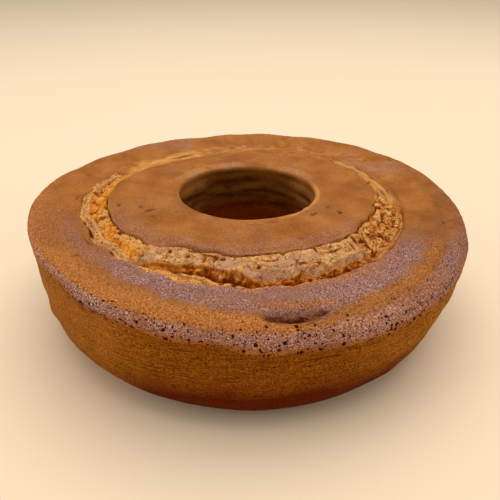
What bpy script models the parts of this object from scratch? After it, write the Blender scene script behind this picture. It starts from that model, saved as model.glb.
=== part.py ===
"""Corn cake baked in a ring tin, modelled as one closed solid.

Metres, +Z up. The cake stands on its flat underside at z = 0, and the origin is the middle of the
underside's box. Bearings are degrees counted from +X towards +Y, so 270 is the front of the cake.

The solid is one profile carried round the ring. The profile is a closed chain of stations, each a
radius and a height that swell a little from bearing to bearing, joined by a smooth curve: flat
underside, round base, side wall, crust lip, shoulder, outer ring of crust, the open crack with its
two steps of crumb, the raised cap, and the wall of the hole. Relief is then added: the crumb in the
crack is raised and sunk straight up and down, and the dents of the crust, the dimple in the outer
ring and the ridges in the hole are pushed out along the surface.
"""
import math
import random

import bpy
import numpy as np

MM = 0.001

# ---- Driving dimensions, in millimetres ----
# A swelling size is its mean and its swells: (height, lobes round the ring, bearing of a crest).
RIM_RADIUS = (121.3, ((0.9, 1, 118), (0.3, 2, -4)))
RIM_HEIGHT = (55.0, ((5.1, 1, 173), (3.4, 2, 23)))
RING_HEIGHT = (65.6, ((3.6, 1, 143), (1.5, 2, 38)))
BASE_ROUNDING = (28.7, ((2.7, 1, -12), (1.7, 2, -21), (2.5, 3, -15)))
CRACK_OUTER = (89.0, ((4.5, 1, 202), (0.8, 2, 34), (1.6, 3, -36), (1.2, 4, -11)))
CRACK_INNER = (74.2, ((2.7, 1, 184), (3.4, 2, 28), (1.7, 3, 67), (1.0, 4, -24)))
CAP_EDGE_HEIGHT = (67.0, ((0.8, 1, 180),))
HOLE_RADIUS = (38.3, ((1.7, 1, 180), (0.7, 2, 0)))

WALL_DRAFT = 2.6            # the side leans in by this from the rim to the round base
SHOULDER_WIDTH = 17.0       # from the widest ring to the top of the outer ring
LIP_BULGE = 0.8             # the crust lip stands out from the side below it
VALLEY_DEPTH = 1.2          # dip of the outer ring just outside the crack
CRACK_LIP_DROP = 2.6        # from the top of the outer ring to the torn lip
CREVICE_DEPTH = 2.8         # below the torn lip
UPPER_STEP_DROP = 1.8       # from the cap's edge to the crumb just below it
LOWER_STEP_DROP = 3.0       # from the cap's edge to the outer end of the upper step
CAP_RISE = 2.2              # from the cap's edge to its crown
HOLE_LIP_RADIUS = 4.6
HOLE_FLARE = 4.0            # the hole is wider at the underside by this
HOLE_BASE_ROUNDING = 8.0

CRACK_CLOSED_AT = 97.0      # bearing at which the crack has healed
CRACK_CLOSED_HALF = 20.0    # healed this many degrees to each side
CRACK_OPENING = 45.0        # and fully open this many degrees further on

# ---- Relief, in millimetres ----
TEAR_RAGGEDNESS = 0.9       # of the crack's two torn edges, along the radius
CRUMB_RELIEF = 1.0
CRUST_RELIEF = 0.35
RIM_RELIEF = 0.3
SIDE_RELIEF = 0.25
HOLE_RIDGES = 0.8           # height of the wavy ridges on the hole's upper wall
HOLE_RIDGE_SPACING = 8.5
HOLE_RIDGES_LOW = 34.0      # the ridges run between these heights
HOLE_RIDGES_HIGH = 60.0
DIMPLE_BEARING = 280.5      # a long dent in the outer ring
DIMPLE_RADIUS = 112.5
DIMPLE_LENGTH = 13.0        # half of its length round the ring
DIMPLE_WIDTH = 3.6          # half of its width
DIMPLE_DEPTH = 2.4

# ---- Where one kind of surface gives way to the next, in millimetres ----
TOP_FROM_HEIGHT = 58.0      # the top's crust lies above this
CRUMB_FROM_HEIGHT = 54.0    # open crumb lies above this
OUTSIDE_FROM_RADIUS = 104.0  # shoulder and side lie outside this
SHOULDER_FROM_HEIGHT = 44.0
SIDE_LOW = 12.0             # the side's dents run between these heights
SIDE_HIGH = 40.0
HOLE_WITHIN_RADIUS = 44.0   # the hole's lip and wall lie inside this
SOFT = 6.0                  # width over which one gives way to the next

# ---- Facets ----
FACETS_AROUND = 114
CRUST_COLOR = (0.262, 0.106, 0.031, 1.0)
CRUST_ROUGHNESS = 0.72


def swelling(size, bearing):
    """A swelling size at each bearing (radians): its mean plus its swells."""
    mean, swells = size
    value = np.full_like(bearing, mean)
    for height, lobes, crest in swells:
        value += height * np.cos(lobes * (bearing - math.radians(crest)))
    return value


def smooth_step(value):
    """0 below 0, 1 above 1, with a soft start and end between."""
    value = np.clip(value, 0.0, 1.0)
    return value * value * (3.0 - 2.0 * value)


def rough_line(bearing, lobes, seed):
    """Even raggedness of about unit height round the ring, as a sum of 24 random waves."""
    draw = random.Random(seed)
    line = np.zeros_like(bearing)
    count = 24
    for _ in range(count):
        line += np.cos(draw.randint(*lobes) * bearing + draw.uniform(0.0, 2.0 * math.pi))
    return line * math.sqrt(2.0 / count)


def crack_openness(bearing):
    """How far the crack gapes at each bearing, from 0 where it has healed to 1."""
    turn = np.degrees(bearing) - CRACK_CLOSED_AT
    away = np.abs((turn + 180.0) % 360.0 - 180.0)
    return smooth_step((away - CRACK_CLOSED_HALF) / CRACK_OPENING)


def crack_edges(bearing):
    """Radii of the crack's outer torn lip and of the cap's edge."""
    ragged = TEAR_RAGGEDNESS * (0.3 + 0.7 * crack_openness(bearing))
    outer = swelling(CRACK_OUTER, bearing) + ragged * rough_line(bearing, (9, 38), 21)
    inner = swelling(CRACK_INNER, bearing) + ragged * rough_line(bearing, (9, 38), 22)
    return outer, inner


def outer_stations(bearing):
    """Underside, base, side, crust lip and shoulder, as (radius, height, facets to the next)."""
    rim = swelling(RIM_RADIUS, bearing)
    lip = swelling(RIM_HEIGHT, bearing)
    top = swelling(RING_HEIGHT, bearing)
    rounding = swelling(BASE_ROUNDING, bearing)
    base = rim - WALL_DRAFT
    corner = 1.0 - math.sqrt(0.5)
    spring = lip + 4.0
    stations = [
        (base - rounding, 0.0, 3),
        (base - corner * rounding, corner * rounding, 3),
        (base, rounding, 2),
        (rim - 1.3, 0.5 * (rounding + lip), 2),
        (rim - LIP_BULGE, lip - 3.5, 1),
        (rim + 0.2, lip + 0.5, 1),
        (rim, spring, 2),
    ]
    for turn, facets in ((22.0, 2), (45.0, 1), (65.0, 2), (90.0, 2)):
        angle = math.radians(turn)
        radius = rim - SHOULDER_WIDTH * (1.0 - math.cos(angle))
        stations.append((radius, spring + (top - spring) * math.sin(angle), facets))
    stations.append((rim - SHOULDER_WIDTH - 5.5, top - VALLEY_DEPTH, 2))
    return stations


def crack_stations(bearing):
    """The torn lip, the crevice, the two steps of crumb and the cap's edge."""
    outer, inner = crack_edges(bearing)
    lip = swelling(RING_HEIGHT, bearing) - CRACK_LIP_DROP
    edge = swelling(CAP_EDGE_HEIGHT, bearing)
    gape = crack_openness(bearing)
    width = outer - inner
    rise = edge - lip
    return [
        (outer, lip, 1),
        (outer - 0.15 * width, lip + 0.1 * rise - CREVICE_DEPTH * gape, 1),
        (outer - 0.30 * width, lip + 0.3 * rise - 0.4 * CREVICE_DEPTH * gape, 1),
        (outer - 0.42 * width, edge - 0.4 * rise * (1.0 - gape) - LOWER_STEP_DROP * gape, 2),
        (outer - 0.72 * width, edge - 0.2 * rise * (1.0 - gape) - 0.9 * gape, 1),
        (inner + 1.0, edge - UPPER_STEP_DROP * gape, 1),
        (inner - 0.8, edge, 2),
    ]


def inner_stations(bearing):
    """The cap, the lip of the hole and the wall of the hole, down to the underside."""
    inner = swelling(CRACK_INNER, bearing)
    hole = swelling(HOLE_RADIUS, bearing)
    edge = swelling(CAP_EDGE_HEIGHT, bearing)
    crown = edge + CAP_RISE
    foot = hole + HOLE_FLARE
    corner = 1.0 - math.sqrt(0.5)
    return [
        (0.55 * inner + 0.45 * hole, crown, 2),
        (hole + 2.0 * HOLE_LIP_RADIUS, crown, 1),
        (hole + 0.9 * HOLE_LIP_RADIUS, crown - 0.3, 1),
        (hole + corner * HOLE_LIP_RADIUS, crown - 0.35 * HOLE_LIP_RADIUS, 1),
        (hole, crown - 1.3 * HOLE_LIP_RADIUS, 2),
        (hole + 0.4 * HOLE_FLARE, 0.55 * crown, 2),
        (foot, HOLE_BASE_ROUNDING, 2),
        (foot + corner * HOLE_BASE_ROUNDING, corner * HOLE_BASE_ROUNDING, 2),
        (foot + HOLE_BASE_ROUNDING, 0.0, 2),
    ]


def profile_rows(bearing):
    """The closed profile at each bearing.

    A smooth curve runs through the stations, with its slope at each taken from its two neighbours
    in proportion to their distances. Returns radii and heights, one row for each ring of corners.
    """
    stations = outer_stations(bearing) + crack_stations(bearing) + inner_stations(bearing)
    points = np.array([np.broadcast_arrays(radius, height) for radius, height, _ in stations])
    ahead = np.roll(points, -1, axis=0)
    span = np.hypot(*np.moveaxis(ahead - points, 1, 0)).mean(axis=1)[:, None, None]
    slope_ahead = (ahead - points) / span
    slope_behind = np.roll(slope_ahead, 1, axis=0)
    span_behind = np.roll(span, 1, axis=0)
    slope = (slope_ahead * span_behind + slope_behind * span) / (span + span_behind)
    rows = []
    for place, (_, _, facets) in enumerate(stations):
        following = (place + 1) % len(stations)
        for step in range(facets):
            part = step / facets
            rest = 1.0 - part
            rows.append(
                points[place] * rest * rest * (1.0 + 2.0 * part)
                + slope[place] * span[place] * part * rest * rest
                + points[following] * part * part * (3.0 - 2.0 * part)
                - slope[following] * span[place] * part * part * rest
            )
    rows = np.array(rows)
    return rows[:, 0], np.maximum(rows[:, 1], 0.0)


def rough_field(bearing, along, lobes, lengths, seed):
    """Even roughness of about unit height, as a sum of 60 random waves that close round the ring.

    lobes and lengths are the ranges of the waves' lobes round the ring and of their lengths (mm)
    along the profile.
    """
    draw = random.Random(seed)
    field = np.zeros(np.broadcast(bearing, along).shape)
    count = 60
    for _ in range(count):
        turns = draw.randint(*lobes)
        length = draw.uniform(*lengths) * draw.choice((-1.0, 1.0))
        phase = draw.uniform(0.0, 2.0 * math.pi)
        field += np.cos(turns * bearing + 2.0 * math.pi * along / length + phase)
    return field * math.sqrt(2.0 / count)


def band(value, low, high, soft):
    """1 between low and high, falling to 0 over the soft distance outside them."""
    return smooth_step((value - low) / soft + 1.0) * smooth_step((high - value) / soft + 1.0)


def dimple(bearing, radius):
    """Depth of the long dent in the outer ring, a bell across its length and its width."""
    turn = np.degrees(bearing) - DIMPLE_BEARING
    round_ring = np.radians((turn + 180.0) % 360.0 - 180.0) * DIMPLE_RADIUS
    across = radius - DIMPLE_RADIUS
    return DIMPLE_DEPTH * np.exp(-(round_ring / DIMPLE_LENGTH) ** 2 - (across / DIMPLE_WIDTH) ** 2)


def crumb_cover(bearing, radius, height):
    """1 on the open crumb in the crack, 0 on the crust, with a soft edge between."""
    outer, inner = crack_edges(bearing)
    top_side = smooth_step((height - CRUMB_FROM_HEIGHT) / SOFT)
    return band(radius, inner, outer - 1.0, 0.4 * SOFT) * crack_openness(bearing) * top_side


def skin_relief(bearing, radius, height, along):
    """How far the crust, the side and the hole's wall are pushed out of the smooth surface (mm)."""
    top_side = smooth_step((height - TOP_FROM_HEIGHT) / SOFT)
    outside = smooth_step((radius - OUTSIDE_FROM_RADIUS) / SOFT)
    shoulder = outside * smooth_step((height - SHOULDER_FROM_HEIGHT) / SOFT)
    side = outside * band(height, SIDE_LOW, SIDE_HIGH, SOFT)
    crust = top_side * smooth_step((radius - HOLE_WITHIN_RADIUS) / SOFT)
    crust *= 1.0 - crumb_cover(bearing, radius, height)
    hole_wall = 1.0 - smooth_step((radius - HOLE_WITHIN_RADIUS) / SOFT)
    hole_wall = hole_wall * band(height, HOLE_RIDGES_LOW, HOLE_RIDGES_HIGH, SOFT)
    ridge_turn = 2.0 * math.pi * height / HOLE_RIDGE_SPACING
    ridge_sway = 1.1 * np.sin(3.0 * bearing + 0.6) + 0.7 * np.sin(7.0 * bearing + 2.0)
    pushed = CRUST_RELIEF * crust * rough_field(bearing, along, (2, 14), (18.0, 60.0), 5)
    pushed += RIM_RELIEF * shoulder * rough_field(bearing, along, (5, 22), (14.0, 40.0), 7)
    pushed += SIDE_RELIEF * side * rough_field(bearing, along, (4, 24), (8.0, 24.0), 11)
    pushed += HOLE_RIDGES * hole_wall * np.sin(ridge_turn + ridge_sway)
    pushed -= dimple(bearing, radius) * top_side
    return pushed


def cake_corners():
    """Corners of the cake's surface, as (rows, bearings, 3) in metres."""
    bearing = np.linspace(0.0, 2.0 * math.pi, FACETS_AROUND, endpoint=False)
    radius, height = profile_rows(bearing)
    step_radius = (np.roll(radius, -1, axis=0) - np.roll(radius, 1, axis=0)) / 2.0
    step_height = (np.roll(height, -1, axis=0) - np.roll(height, 1, axis=0)) / 2.0
    length = np.hypot(step_radius, step_height)
    along = np.cumsum(length.mean(axis=1))[:, None]
    ring = bearing[None, :]
    crumb = crumb_cover(ring, radius, height) * rough_field(ring, along, (12, 40), (5.0, 14.0), 3)
    pushed = skin_relief(ring, radius, height, along)
    raised = CRUMB_RELIEF * crumb - pushed * step_radius / length
    radius = radius + pushed * step_height / length
    height = np.maximum(height + raised, 0.0)
    corners = np.stack((radius * np.cos(bearing), radius * np.sin(bearing), height), axis=-1)
    flat = corners.reshape(-1, 3)
    middle = (flat.min(axis=0) + flat.max(axis=0)) / 2.0
    corners[..., :2] -= middle[:2]
    return corners * MM


def ring_faces(rows, columns):
    """Four-cornered faces of a closed grid that wraps both ways, facing out."""
    row, column = np.meshgrid(np.arange(rows), np.arange(columns), indexing="ij")
    next_row = (row + 1) % rows
    next_column = (column + 1) % columns
    loop = (
        row * columns + column,
        row * columns + next_column,
        next_row * columns + next_column,
        next_row * columns + column,
    )
    return np.stack(loop, axis=-1).reshape(-1, 4)


def crust_material():
    """Browned crust: matt, warm brown."""
    material = bpy.data.materials.new("browned_crust")
    material.use_nodes = True
    shader = material.node_tree.nodes["Principled BSDF"]
    shader.inputs["Base Color"].default_value = CRUST_COLOR
    shader.inputs["Roughness"].default_value = CRUST_ROUGHNESS
    shader.inputs["Metallic"].default_value = 0.0
    return material


def make_cake():
    """The whole cake as one object."""
    corners = cake_corners()
    faces = ring_faces(corners.shape[0], corners.shape[1])
    mesh = bpy.data.meshes.new("cake")
    mesh.from_pydata(corners.reshape(-1, 3).tolist(), [], faces.tolist())
    mesh.update()
    mesh.materials.append(crust_material())
    mesh.shade_smooth()
    cake = bpy.data.objects.new("cake", mesh)
    bpy.context.scene.collection.objects.link(cake)
    return cake


def main():
    """Empty the scene, then make the cake."""
    for thing in list(bpy.data.objects):
        bpy.data.objects.remove(thing, do_unlink=True)
    make_cake()


main()
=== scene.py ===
"""A corn cake baked in a ring tin, dressed in fine detail on a plain pale floor.

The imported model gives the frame: one node, the cake, standing on the floor. Its surface is made
anew here over the same form, at a finer grain: the whole cake as one closed skin, the open crumb of
the crack as a closed band bedded in it, and the crumbs and flakes of crust that lie in the crack.

The cake's own sizes are in millimetres and bearings are counted from +X towards +Y, so that 270
degrees is the front. A place on the profile is a station number with a fraction between stations.
"""

from __future__ import annotations

import logging
import math
import random
from dataclasses import dataclass
from enum import Enum, IntEnum
from functools import cached_property, partial, reduce

import bmesh
import bpy
import numpy as np
from mathutils import Matrix, Vector


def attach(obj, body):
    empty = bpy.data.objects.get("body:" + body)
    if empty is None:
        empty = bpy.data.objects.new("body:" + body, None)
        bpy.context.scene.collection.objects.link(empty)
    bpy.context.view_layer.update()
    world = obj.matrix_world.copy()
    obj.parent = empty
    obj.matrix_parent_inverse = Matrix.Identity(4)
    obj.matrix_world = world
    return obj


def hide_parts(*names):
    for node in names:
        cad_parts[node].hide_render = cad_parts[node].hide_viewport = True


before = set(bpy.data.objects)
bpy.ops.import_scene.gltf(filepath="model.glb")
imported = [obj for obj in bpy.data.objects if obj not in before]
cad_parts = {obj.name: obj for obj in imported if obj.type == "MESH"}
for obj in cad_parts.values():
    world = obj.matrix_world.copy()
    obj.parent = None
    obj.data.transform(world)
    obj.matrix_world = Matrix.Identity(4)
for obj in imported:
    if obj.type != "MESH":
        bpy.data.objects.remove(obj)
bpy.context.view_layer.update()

LOG = logging.getLogger("corn_cake")
MM = 0.001
FULL_TURN = 2.0 * math.pi
FRAME_PIXELS = 500
BOX_CENTRE = (-0.344, 0.712)  # of the solid's box, from the middle of its ring, in millimetres
TOP_HEIGHT = 50.0  # what lies higher is the cake's top, in millimetres
CORNER = 1.0 - math.sqrt(0.5)  # inset of a fillet's middle from its corner, in radii


# ---------------------------------------------------------------- small shared sums


def linear(code: str) -> tuple[float, float, float, float]:
    """Turns an sRGB hex code into the linear colour that a shader wants.

    Args:
        code: six hex digits with a leading hash, such as "#A96D3D".

    Returns:
        Linear red, green and blue, and an alpha of 1.
    """
    parts = [int(code[place : place + 2], 16) / 255.0 for place in (1, 3, 5)]
    low = [part / 12.92 for part in parts]
    high = [((part + 0.055) / 1.055) ** 2.4 for part in parts]
    red, green, blue = (l if part <= 0.04045 else h for part, l, h in zip(parts, low, high))
    return (red, green, blue, 1.0)


def smooth_step(value: np.ndarray) -> np.ndarray:
    """Gives 0 below 0 and 1 above 1, with a soft start and end between."""
    value = np.clip(value, 0.0, 1.0)
    return value * value * (3.0 - 2.0 * value)


def band(value: np.ndarray, low: float, high: float, soft: float) -> np.ndarray:
    """Gives 1 between low and high, falling to 0 over the soft distance outside them."""
    return smooth_step((value - low) / soft + 1.0) * smooth_step((high - value) / soft + 1.0)


def turn_from(bearing: np.ndarray, centre: float) -> np.ndarray:
    """Gives the turn from a centre bearing, in degrees between -180 and 180."""
    return (np.degrees(bearing) - centre + 180.0) % 360.0 - 180.0


def arc(bearing: np.ndarray, centre: float, half: float, soft: float) -> np.ndarray:
    """Gives 1 within half degrees of a bearing, falling to 0 over the soft turn outside it."""
    return smooth_step((half - np.abs(turn_from(bearing, centre))) / soft + 1.0)


def strongest(*values: np.ndarray | float) -> np.ndarray:
    """Gives the largest of several values at each point."""
    return reduce(np.maximum, values)


# ---------------------------------------------------------------- noise on whole arrays


FIELD_WAVES = 60
LINE_WAVES = 24


@dataclass(frozen=True)
class Noise:
    """Seeded noise in space, worked out for whole arrays of points at once."""

    seed: int

    def _scatter(self, cell: np.ndarray, salt: int) -> np.ndarray:
        """Gives an even random number from 0 to 1 for each whole-numbered cell.

        Args:
            cell: whole numbers of shape (..., 3).
            salt: picks one of several independent numbers for the same cell.

        Returns:
            Numbers of shape (...).
        """
        mixed = cell.astype(np.uint32)
        value = mixed[..., 0] * np.uint32(374761393) + mixed[..., 1] * np.uint32(668265263)
        value += mixed[..., 2] * np.uint32(2246822519)
        value += np.uint32((self.seed * 3266489917 + salt * 2654435761) % 2**32)
        value = (value ^ (value >> np.uint32(15))) * np.uint32(2246822519)
        value = (value ^ (value >> np.uint32(13))) * np.uint32(3266489917)
        return (value ^ (value >> np.uint32(16))).astype(np.float64) / 2.0**32

    def soft(self, points: np.ndarray, size: float) -> np.ndarray:
        """Gives smooth noise from -1 to 1 that changes over about the given size.

        Each corner of a lattice holds a random value, and the eight round a point are mixed by
        the fifth-power ease of its place between them.

        Args:
            points: points of shape (..., 3).
            size: distance between the lattice's corners.

        Returns:
            Noise of shape (...).
        """
        lattice = points / size
        base = np.floor(lattice)
        part = lattice - base
        base = base.astype(np.int64)
        ease = part * part * part * (part * (part * 6.0 - 15.0) + 10.0)
        total = np.zeros(points.shape[:-1])
        for corner in np.ndindex(2, 2, 2):
            step = np.array(corner)
            weight = np.prod(np.where(step == 1, ease, 1.0 - ease), axis=-1)
            total += weight * self._scatter(base + step, 1)
        return 2.0 * total - 1.0

    def layered(self, points: np.ndarray, size: float, layers: int) -> np.ndarray:
        """Adds layers of soft noise, each half as large and half as strong as the last.

        Args:
            points: points of shape (..., 3).
            size: size of the first layer.
            layers: number of layers.

        Returns:
            Noise of shape (...).
        """
        total = np.zeros(points.shape[:-1])
        strength = 1.0
        moved = points
        for _ in range(layers):
            total += strength * self.soft(moved, size)
            moved = moved[..., (1, 2, 0)] * np.array((1.0, -1.0, 1.0)) + 31.7 * size
            size *= 0.5
            strength *= 0.5
        return total / (2.0 - 2.0 * strength)

    def cells(self, points: np.ndarray, size: float) -> tuple[np.ndarray, ...]:
        """Finds the nearest seeds of a scattered lattice, one seed to each cube of the given size.

        Args:
            points: points of shape (..., 3).
            size: side of a cube.

        Returns:
            The distance to the nearest seed and to the next, both in cube sides; a random number
            from 0 to 1 that belongs to the nearest seed; and the height at the point of a plane
            through that seed that leans its own way, by up to half.
        """
        lattice = points / size
        base = np.floor(lattice).astype(np.int64)
        nearest = np.full(points.shape[:-1], 9.0)
        second, owner, leaning = nearest.copy(), np.zeros_like(nearest), np.zeros_like(nearest)
        for step in np.ndindex(3, 3, 3):
            cell = base + np.array(step) - 1
            seeds = np.stack([self._scatter(cell, salt) for salt in (2, 3, 4)], axis=-1)
            offset = lattice - cell - seeds
            away = np.linalg.norm(offset, axis=-1)
            lean = (self._scatter(cell, 6) - 0.5) * offset[..., 0]
            lean += (self._scatter(cell, 7) - 0.5) * offset[..., 1]
            closer = away < nearest
            second = np.where(closer, nearest, np.minimum(second, away))
            owner = np.where(closer, self._scatter(cell, 5), owner)
            leaning = np.where(closer, lean, leaning)
            nearest = np.where(closer, away, nearest)
        return nearest, second, owner, leaning


def rough_field(
    bearing: np.ndarray,
    along: np.ndarray,
    lobes: tuple[int, int],
    lengths: tuple[float, float],
    seed: int,
) -> np.ndarray:
    """Gives even roughness of about unit height, as a sum of random waves.

    Args:
        bearing: bearings in radians.
        along: distances along the profile.
        lobes: the least and most lobes of a wave round the ring, which closes there.
        lengths: the shortest and longest wave along the profile.
        seed: start of the random draw.

    Returns:
        The height at each point.
    """
    draw = random.Random(seed)
    field = np.zeros(np.broadcast(bearing, along).shape)
    for _ in range(FIELD_WAVES):
        turns = draw.randint(*lobes)
        length = draw.uniform(*lengths) * draw.choice((-1.0, 1.0))
        phase = draw.uniform(0.0, FULL_TURN)
        field += np.cos(turns * bearing + FULL_TURN * along / length + phase)
    return field * math.sqrt(2.0 / FIELD_WAVES)


def rough_line(bearing: np.ndarray, lobes: tuple[int, int], seed: int) -> np.ndarray:
    """Gives even raggedness of about unit height round the ring, as a sum of random waves.

    Args:
        bearing: bearings in radians.
        lobes: the least and most lobes of a wave.
        seed: start of the random draw.

    Returns:
        The height at each bearing.
    """
    draw = random.Random(seed)
    line = np.zeros_like(bearing)
    for _ in range(LINE_WAVES):
        line += np.cos(draw.randint(*lobes) * bearing + draw.uniform(0.0, FULL_TURN))
    return line * math.sqrt(2.0 / LINE_WAVES)


# ---------------------------------------------------------------- the cake's form


@dataclass(frozen=True)
class Swelling:
    """A size that swells round the ring: its mean, and swells of (height, lobes, crest bearing)."""

    mean: float
    swells: tuple[tuple[float, int, float], ...] = ()

    def at(self, bearing: np.ndarray) -> np.ndarray:
        """Gives the size at each bearing: the mean plus a cosine for each swell.

        Args:
            bearing: bearings in radians.

        Returns:
            The size.
        """
        value = np.full_like(bearing, self.mean)
        for height, lobes, crest in self.swells:
            value = value + height * np.cos(lobes * (bearing - math.radians(crest)))
        return value


class Station(IntEnum):
    """The stations of the profile, from the underside out, up, over and down into the hole.

    They name the scale on which places are given: 6.5 lies half-way from the rim to the next.
    """

    UNDERSIDE_EDGE = 0
    BASE_CORNER = 1
    BASE_TOP = 2
    SIDE = 3
    UNDER_LIP = 4
    LIP = 5
    RIM = 6
    SHOULDER_LOW = 7
    SHOULDER_MIDDLE = 8
    SHOULDER_HIGH = 9
    RING_TOP = 10
    VALLEY = 11
    TORN_LIP = 12
    CREVICE = 13
    LOWER_CRUMB = 14
    STEP_FOOT = 15
    STEP_BACK = 16
    CAP_NOTCH = 17
    CAP_EDGE = 18
    CAP = 19
    CAP_INSIDE = 20
    HOLE_SHOULDER = 21
    HOLE_LIP = 22
    HOLE_TOP = 23
    HOLE_MIDDLE = 24
    HOLE_FOOT = 25
    HOLE_CORNER = 26
    HOLE_EDGE = 27


@dataclass(frozen=True)
class Patch:
    """A stretch of the cake's smooth surface on a grid of places by bearings, in millimetres."""

    place: np.ndarray
    bearing: np.ndarray
    along: np.ndarray
    radius: np.ndarray
    height: np.ndarray
    out: np.ndarray
    up: np.ndarray

    def points(self, radius: np.ndarray, height: np.ndarray) -> np.ndarray:
        """Turns radii and heights on this patch's bearings into points in space."""
        return np.stack(
            (radius * np.cos(self.bearing), radius * np.sin(self.bearing), height), axis=-1
        )


@dataclass(frozen=True)
class CakeForm:
    """The cake's form: one profile, a chain of stations that swell from bearing to bearing."""

    rim_radius: Swelling = Swelling(121.3, ((0.9, 1, 118), (0.3, 2, -4)))
    rim_height: Swelling = Swelling(55.0, ((5.1, 1, 173), (3.4, 2, 23)))
    ring_height: Swelling = Swelling(65.6, ((3.6, 1, 143), (1.5, 2, 38)))
    base_rounding: Swelling = Swelling(28.7, ((2.7, 1, -12), (1.7, 2, -21), (2.5, 3, -15)))
    crack_outer: Swelling = Swelling(
        89.0, ((4.5, 1, 202), (0.8, 2, 34), (1.6, 3, -36), (1.2, 4, -11))
    )
    crack_inner: Swelling = Swelling(
        74.2, ((2.7, 1, 184), (3.4, 2, 28), (1.7, 3, 67), (1.0, 4, -24))
    )
    crack_lobes: tuple[int, int] = (9, 38)
    cap_edge_height: Swelling = Swelling(67.0, ((0.8, 1, 180),))
    hole_radius: Swelling = Swelling(38.3, ((1.7, 1, 180), (0.7, 2, 0)))
    wall_draft: float = 2.6
    shoulder_width: float = 17.0
    lip_bulge: float = 0.8
    valley_depth: float = 1.2
    crack_lip_drop: float = 2.6
    crevice_depth: float = 2.8
    upper_step_drop: float = 1.8
    lower_step_drop: float = 3.0
    cap_rise: float = 2.2
    hole_lip_radius: float = 4.6
    hole_flare: float = 4.0
    hole_base_rounding: float = 8.0
    crack_closed_at: float = 97.0
    crack_closed_half: float = 20.0
    crack_opening: float = 45.0
    torn_arc: tuple[float, float, float] = (256.0, 96.0, 7.0)
    front_arc: tuple[float, float, float] = (273.0, 37.0, 7.0)
    tear_raggedness: float = 0.9
    crust_relief: float = 0.35
    rim_relief: float = 0.3
    side_relief: float = 0.25
    hole_ridges: float = 0.8
    hole_ridge_spacing: float = 8.5
    dimple_bearing: float = 280.5
    dimple_radius: float = 112.5
    dimple_length: float = 13.0
    dimple_width: float = 3.6
    dimple_depth: float = 2.4

    def openness(self, bearing: np.ndarray) -> np.ndarray:
        """Tells how far the crack gapes at each bearing, from 0 where it has healed to 1."""
        away = np.abs(turn_from(bearing, self.crack_closed_at))
        return smooth_step((away - self.crack_closed_half) / self.crack_opening)

    def torn(self, bearing: np.ndarray) -> np.ndarray:
        """Gives 1 where rough crumb lies open in the crack, and 0 where crust has closed it."""
        return arc(bearing, *self.torn_arc)

    def stretches(self, bearing: np.ndarray) -> tuple[np.ndarray, np.ndarray, np.ndarray]:
        """Gives the shares of the open crack's left, front and right stretches at each bearing.

        Args:
            bearing: bearings in radians.

        Returns:
            The three shares, each from 0 to 1.
        """
        torn = self.torn(bearing)
        front = torn * arc(bearing, *self.front_arc)
        on_left = turn_from(bearing, self.front_arc[0]) < 0.0
        return (torn - front) * on_left, front, (torn - front) * ~on_left

    def crack_edges(self, bearing: np.ndarray) -> tuple[np.ndarray, np.ndarray]:
        """Gives the radii of the crack's outer torn lip and of the cap's edge.

        Args:
            bearing: bearings in radians.

        Returns:
            The outer lip's radii, and the cap edge's.
        """
        ragged = self.tear_raggedness * (0.3 + 0.7 * self.openness(bearing))
        outer = self.crack_outer.at(bearing) + ragged * rough_line(bearing, self.crack_lobes, 21)
        inner = self.crack_inner.at(bearing) + ragged * rough_line(bearing, self.crack_lobes, 22)
        return outer, inner

    def lip_height(self, bearing: np.ndarray) -> np.ndarray:
        """Gives the height of the crack's outer torn lip at each bearing."""
        return self.ring_height.at(bearing) - self.crack_lip_drop

    def crack_part(self, patch: Patch) -> np.ndarray:
        """Gives the share of the way across the crack, 0 at the torn lip and 1 at the cap's edge.

        Both edges are smoother here than the solid's. Both stand further in at the front left,
        and the cap's edge also at the right.

        Args:
            patch: the smooth surface.

        Returns:
            The share at each point.
        """
        bearing = patch.bearing[0]
        outer = self.crack_outer.at(bearing) + 0.4 * rough_line(bearing, self.crack_lobes, 21)
        inner = self.crack_inner.at(bearing) + 0.5 * rough_line(bearing, self.crack_lobes, 22)
        outer = outer - 4.5 * arc(bearing, 248.0, 3.0, 13.0)
        inner = inner - 3.2 * arc(bearing, 249.0, 4.0, 13.0) - 2.0 * arc(bearing, 335.0, 6.0, 14.0)
        return (outer - patch.radius) / (outer - inner)

    def _outer_stations(self, bearing: np.ndarray) -> dict[Station, tuple]:
        """Gives radius and height of the underside, base, side, crust lip and shoulder.

        Args:
            bearing: bearings in radians.

        Returns:
            Radius and height of each station.
        """
        rim = self.rim_radius.at(bearing)
        lip = self.rim_height.at(bearing)
        top = self.ring_height.at(bearing)
        rounding = self.base_rounding.at(bearing)
        base = rim - self.wall_draft
        spring = lip + 4.0
        stations = {
            Station.UNDERSIDE_EDGE: (base - rounding, 0.0),
            Station.BASE_CORNER: (base - CORNER * rounding, CORNER * rounding),
            Station.BASE_TOP: (base, rounding),
            Station.SIDE: (rim - 1.3, 0.5 * (rounding + lip)),
            Station.UNDER_LIP: (rim - self.lip_bulge, lip - 3.5),
            Station.LIP: (rim + 0.2, lip + 0.5),
            Station.RIM: (rim, spring),
            Station.VALLEY: (rim - self.shoulder_width - 5.5, top - self.valley_depth),
        }
        for station, turn in (
            (Station.SHOULDER_LOW, 22.0),
            (Station.SHOULDER_MIDDLE, 45.0),
            (Station.SHOULDER_HIGH, 65.0),
            (Station.RING_TOP, 90.0),
        ):
            angle = math.radians(turn)
            radius = rim - self.shoulder_width * (1.0 - math.cos(angle))
            stations[station] = (radius, spring + (top - spring) * math.sin(angle))
        return stations

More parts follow.
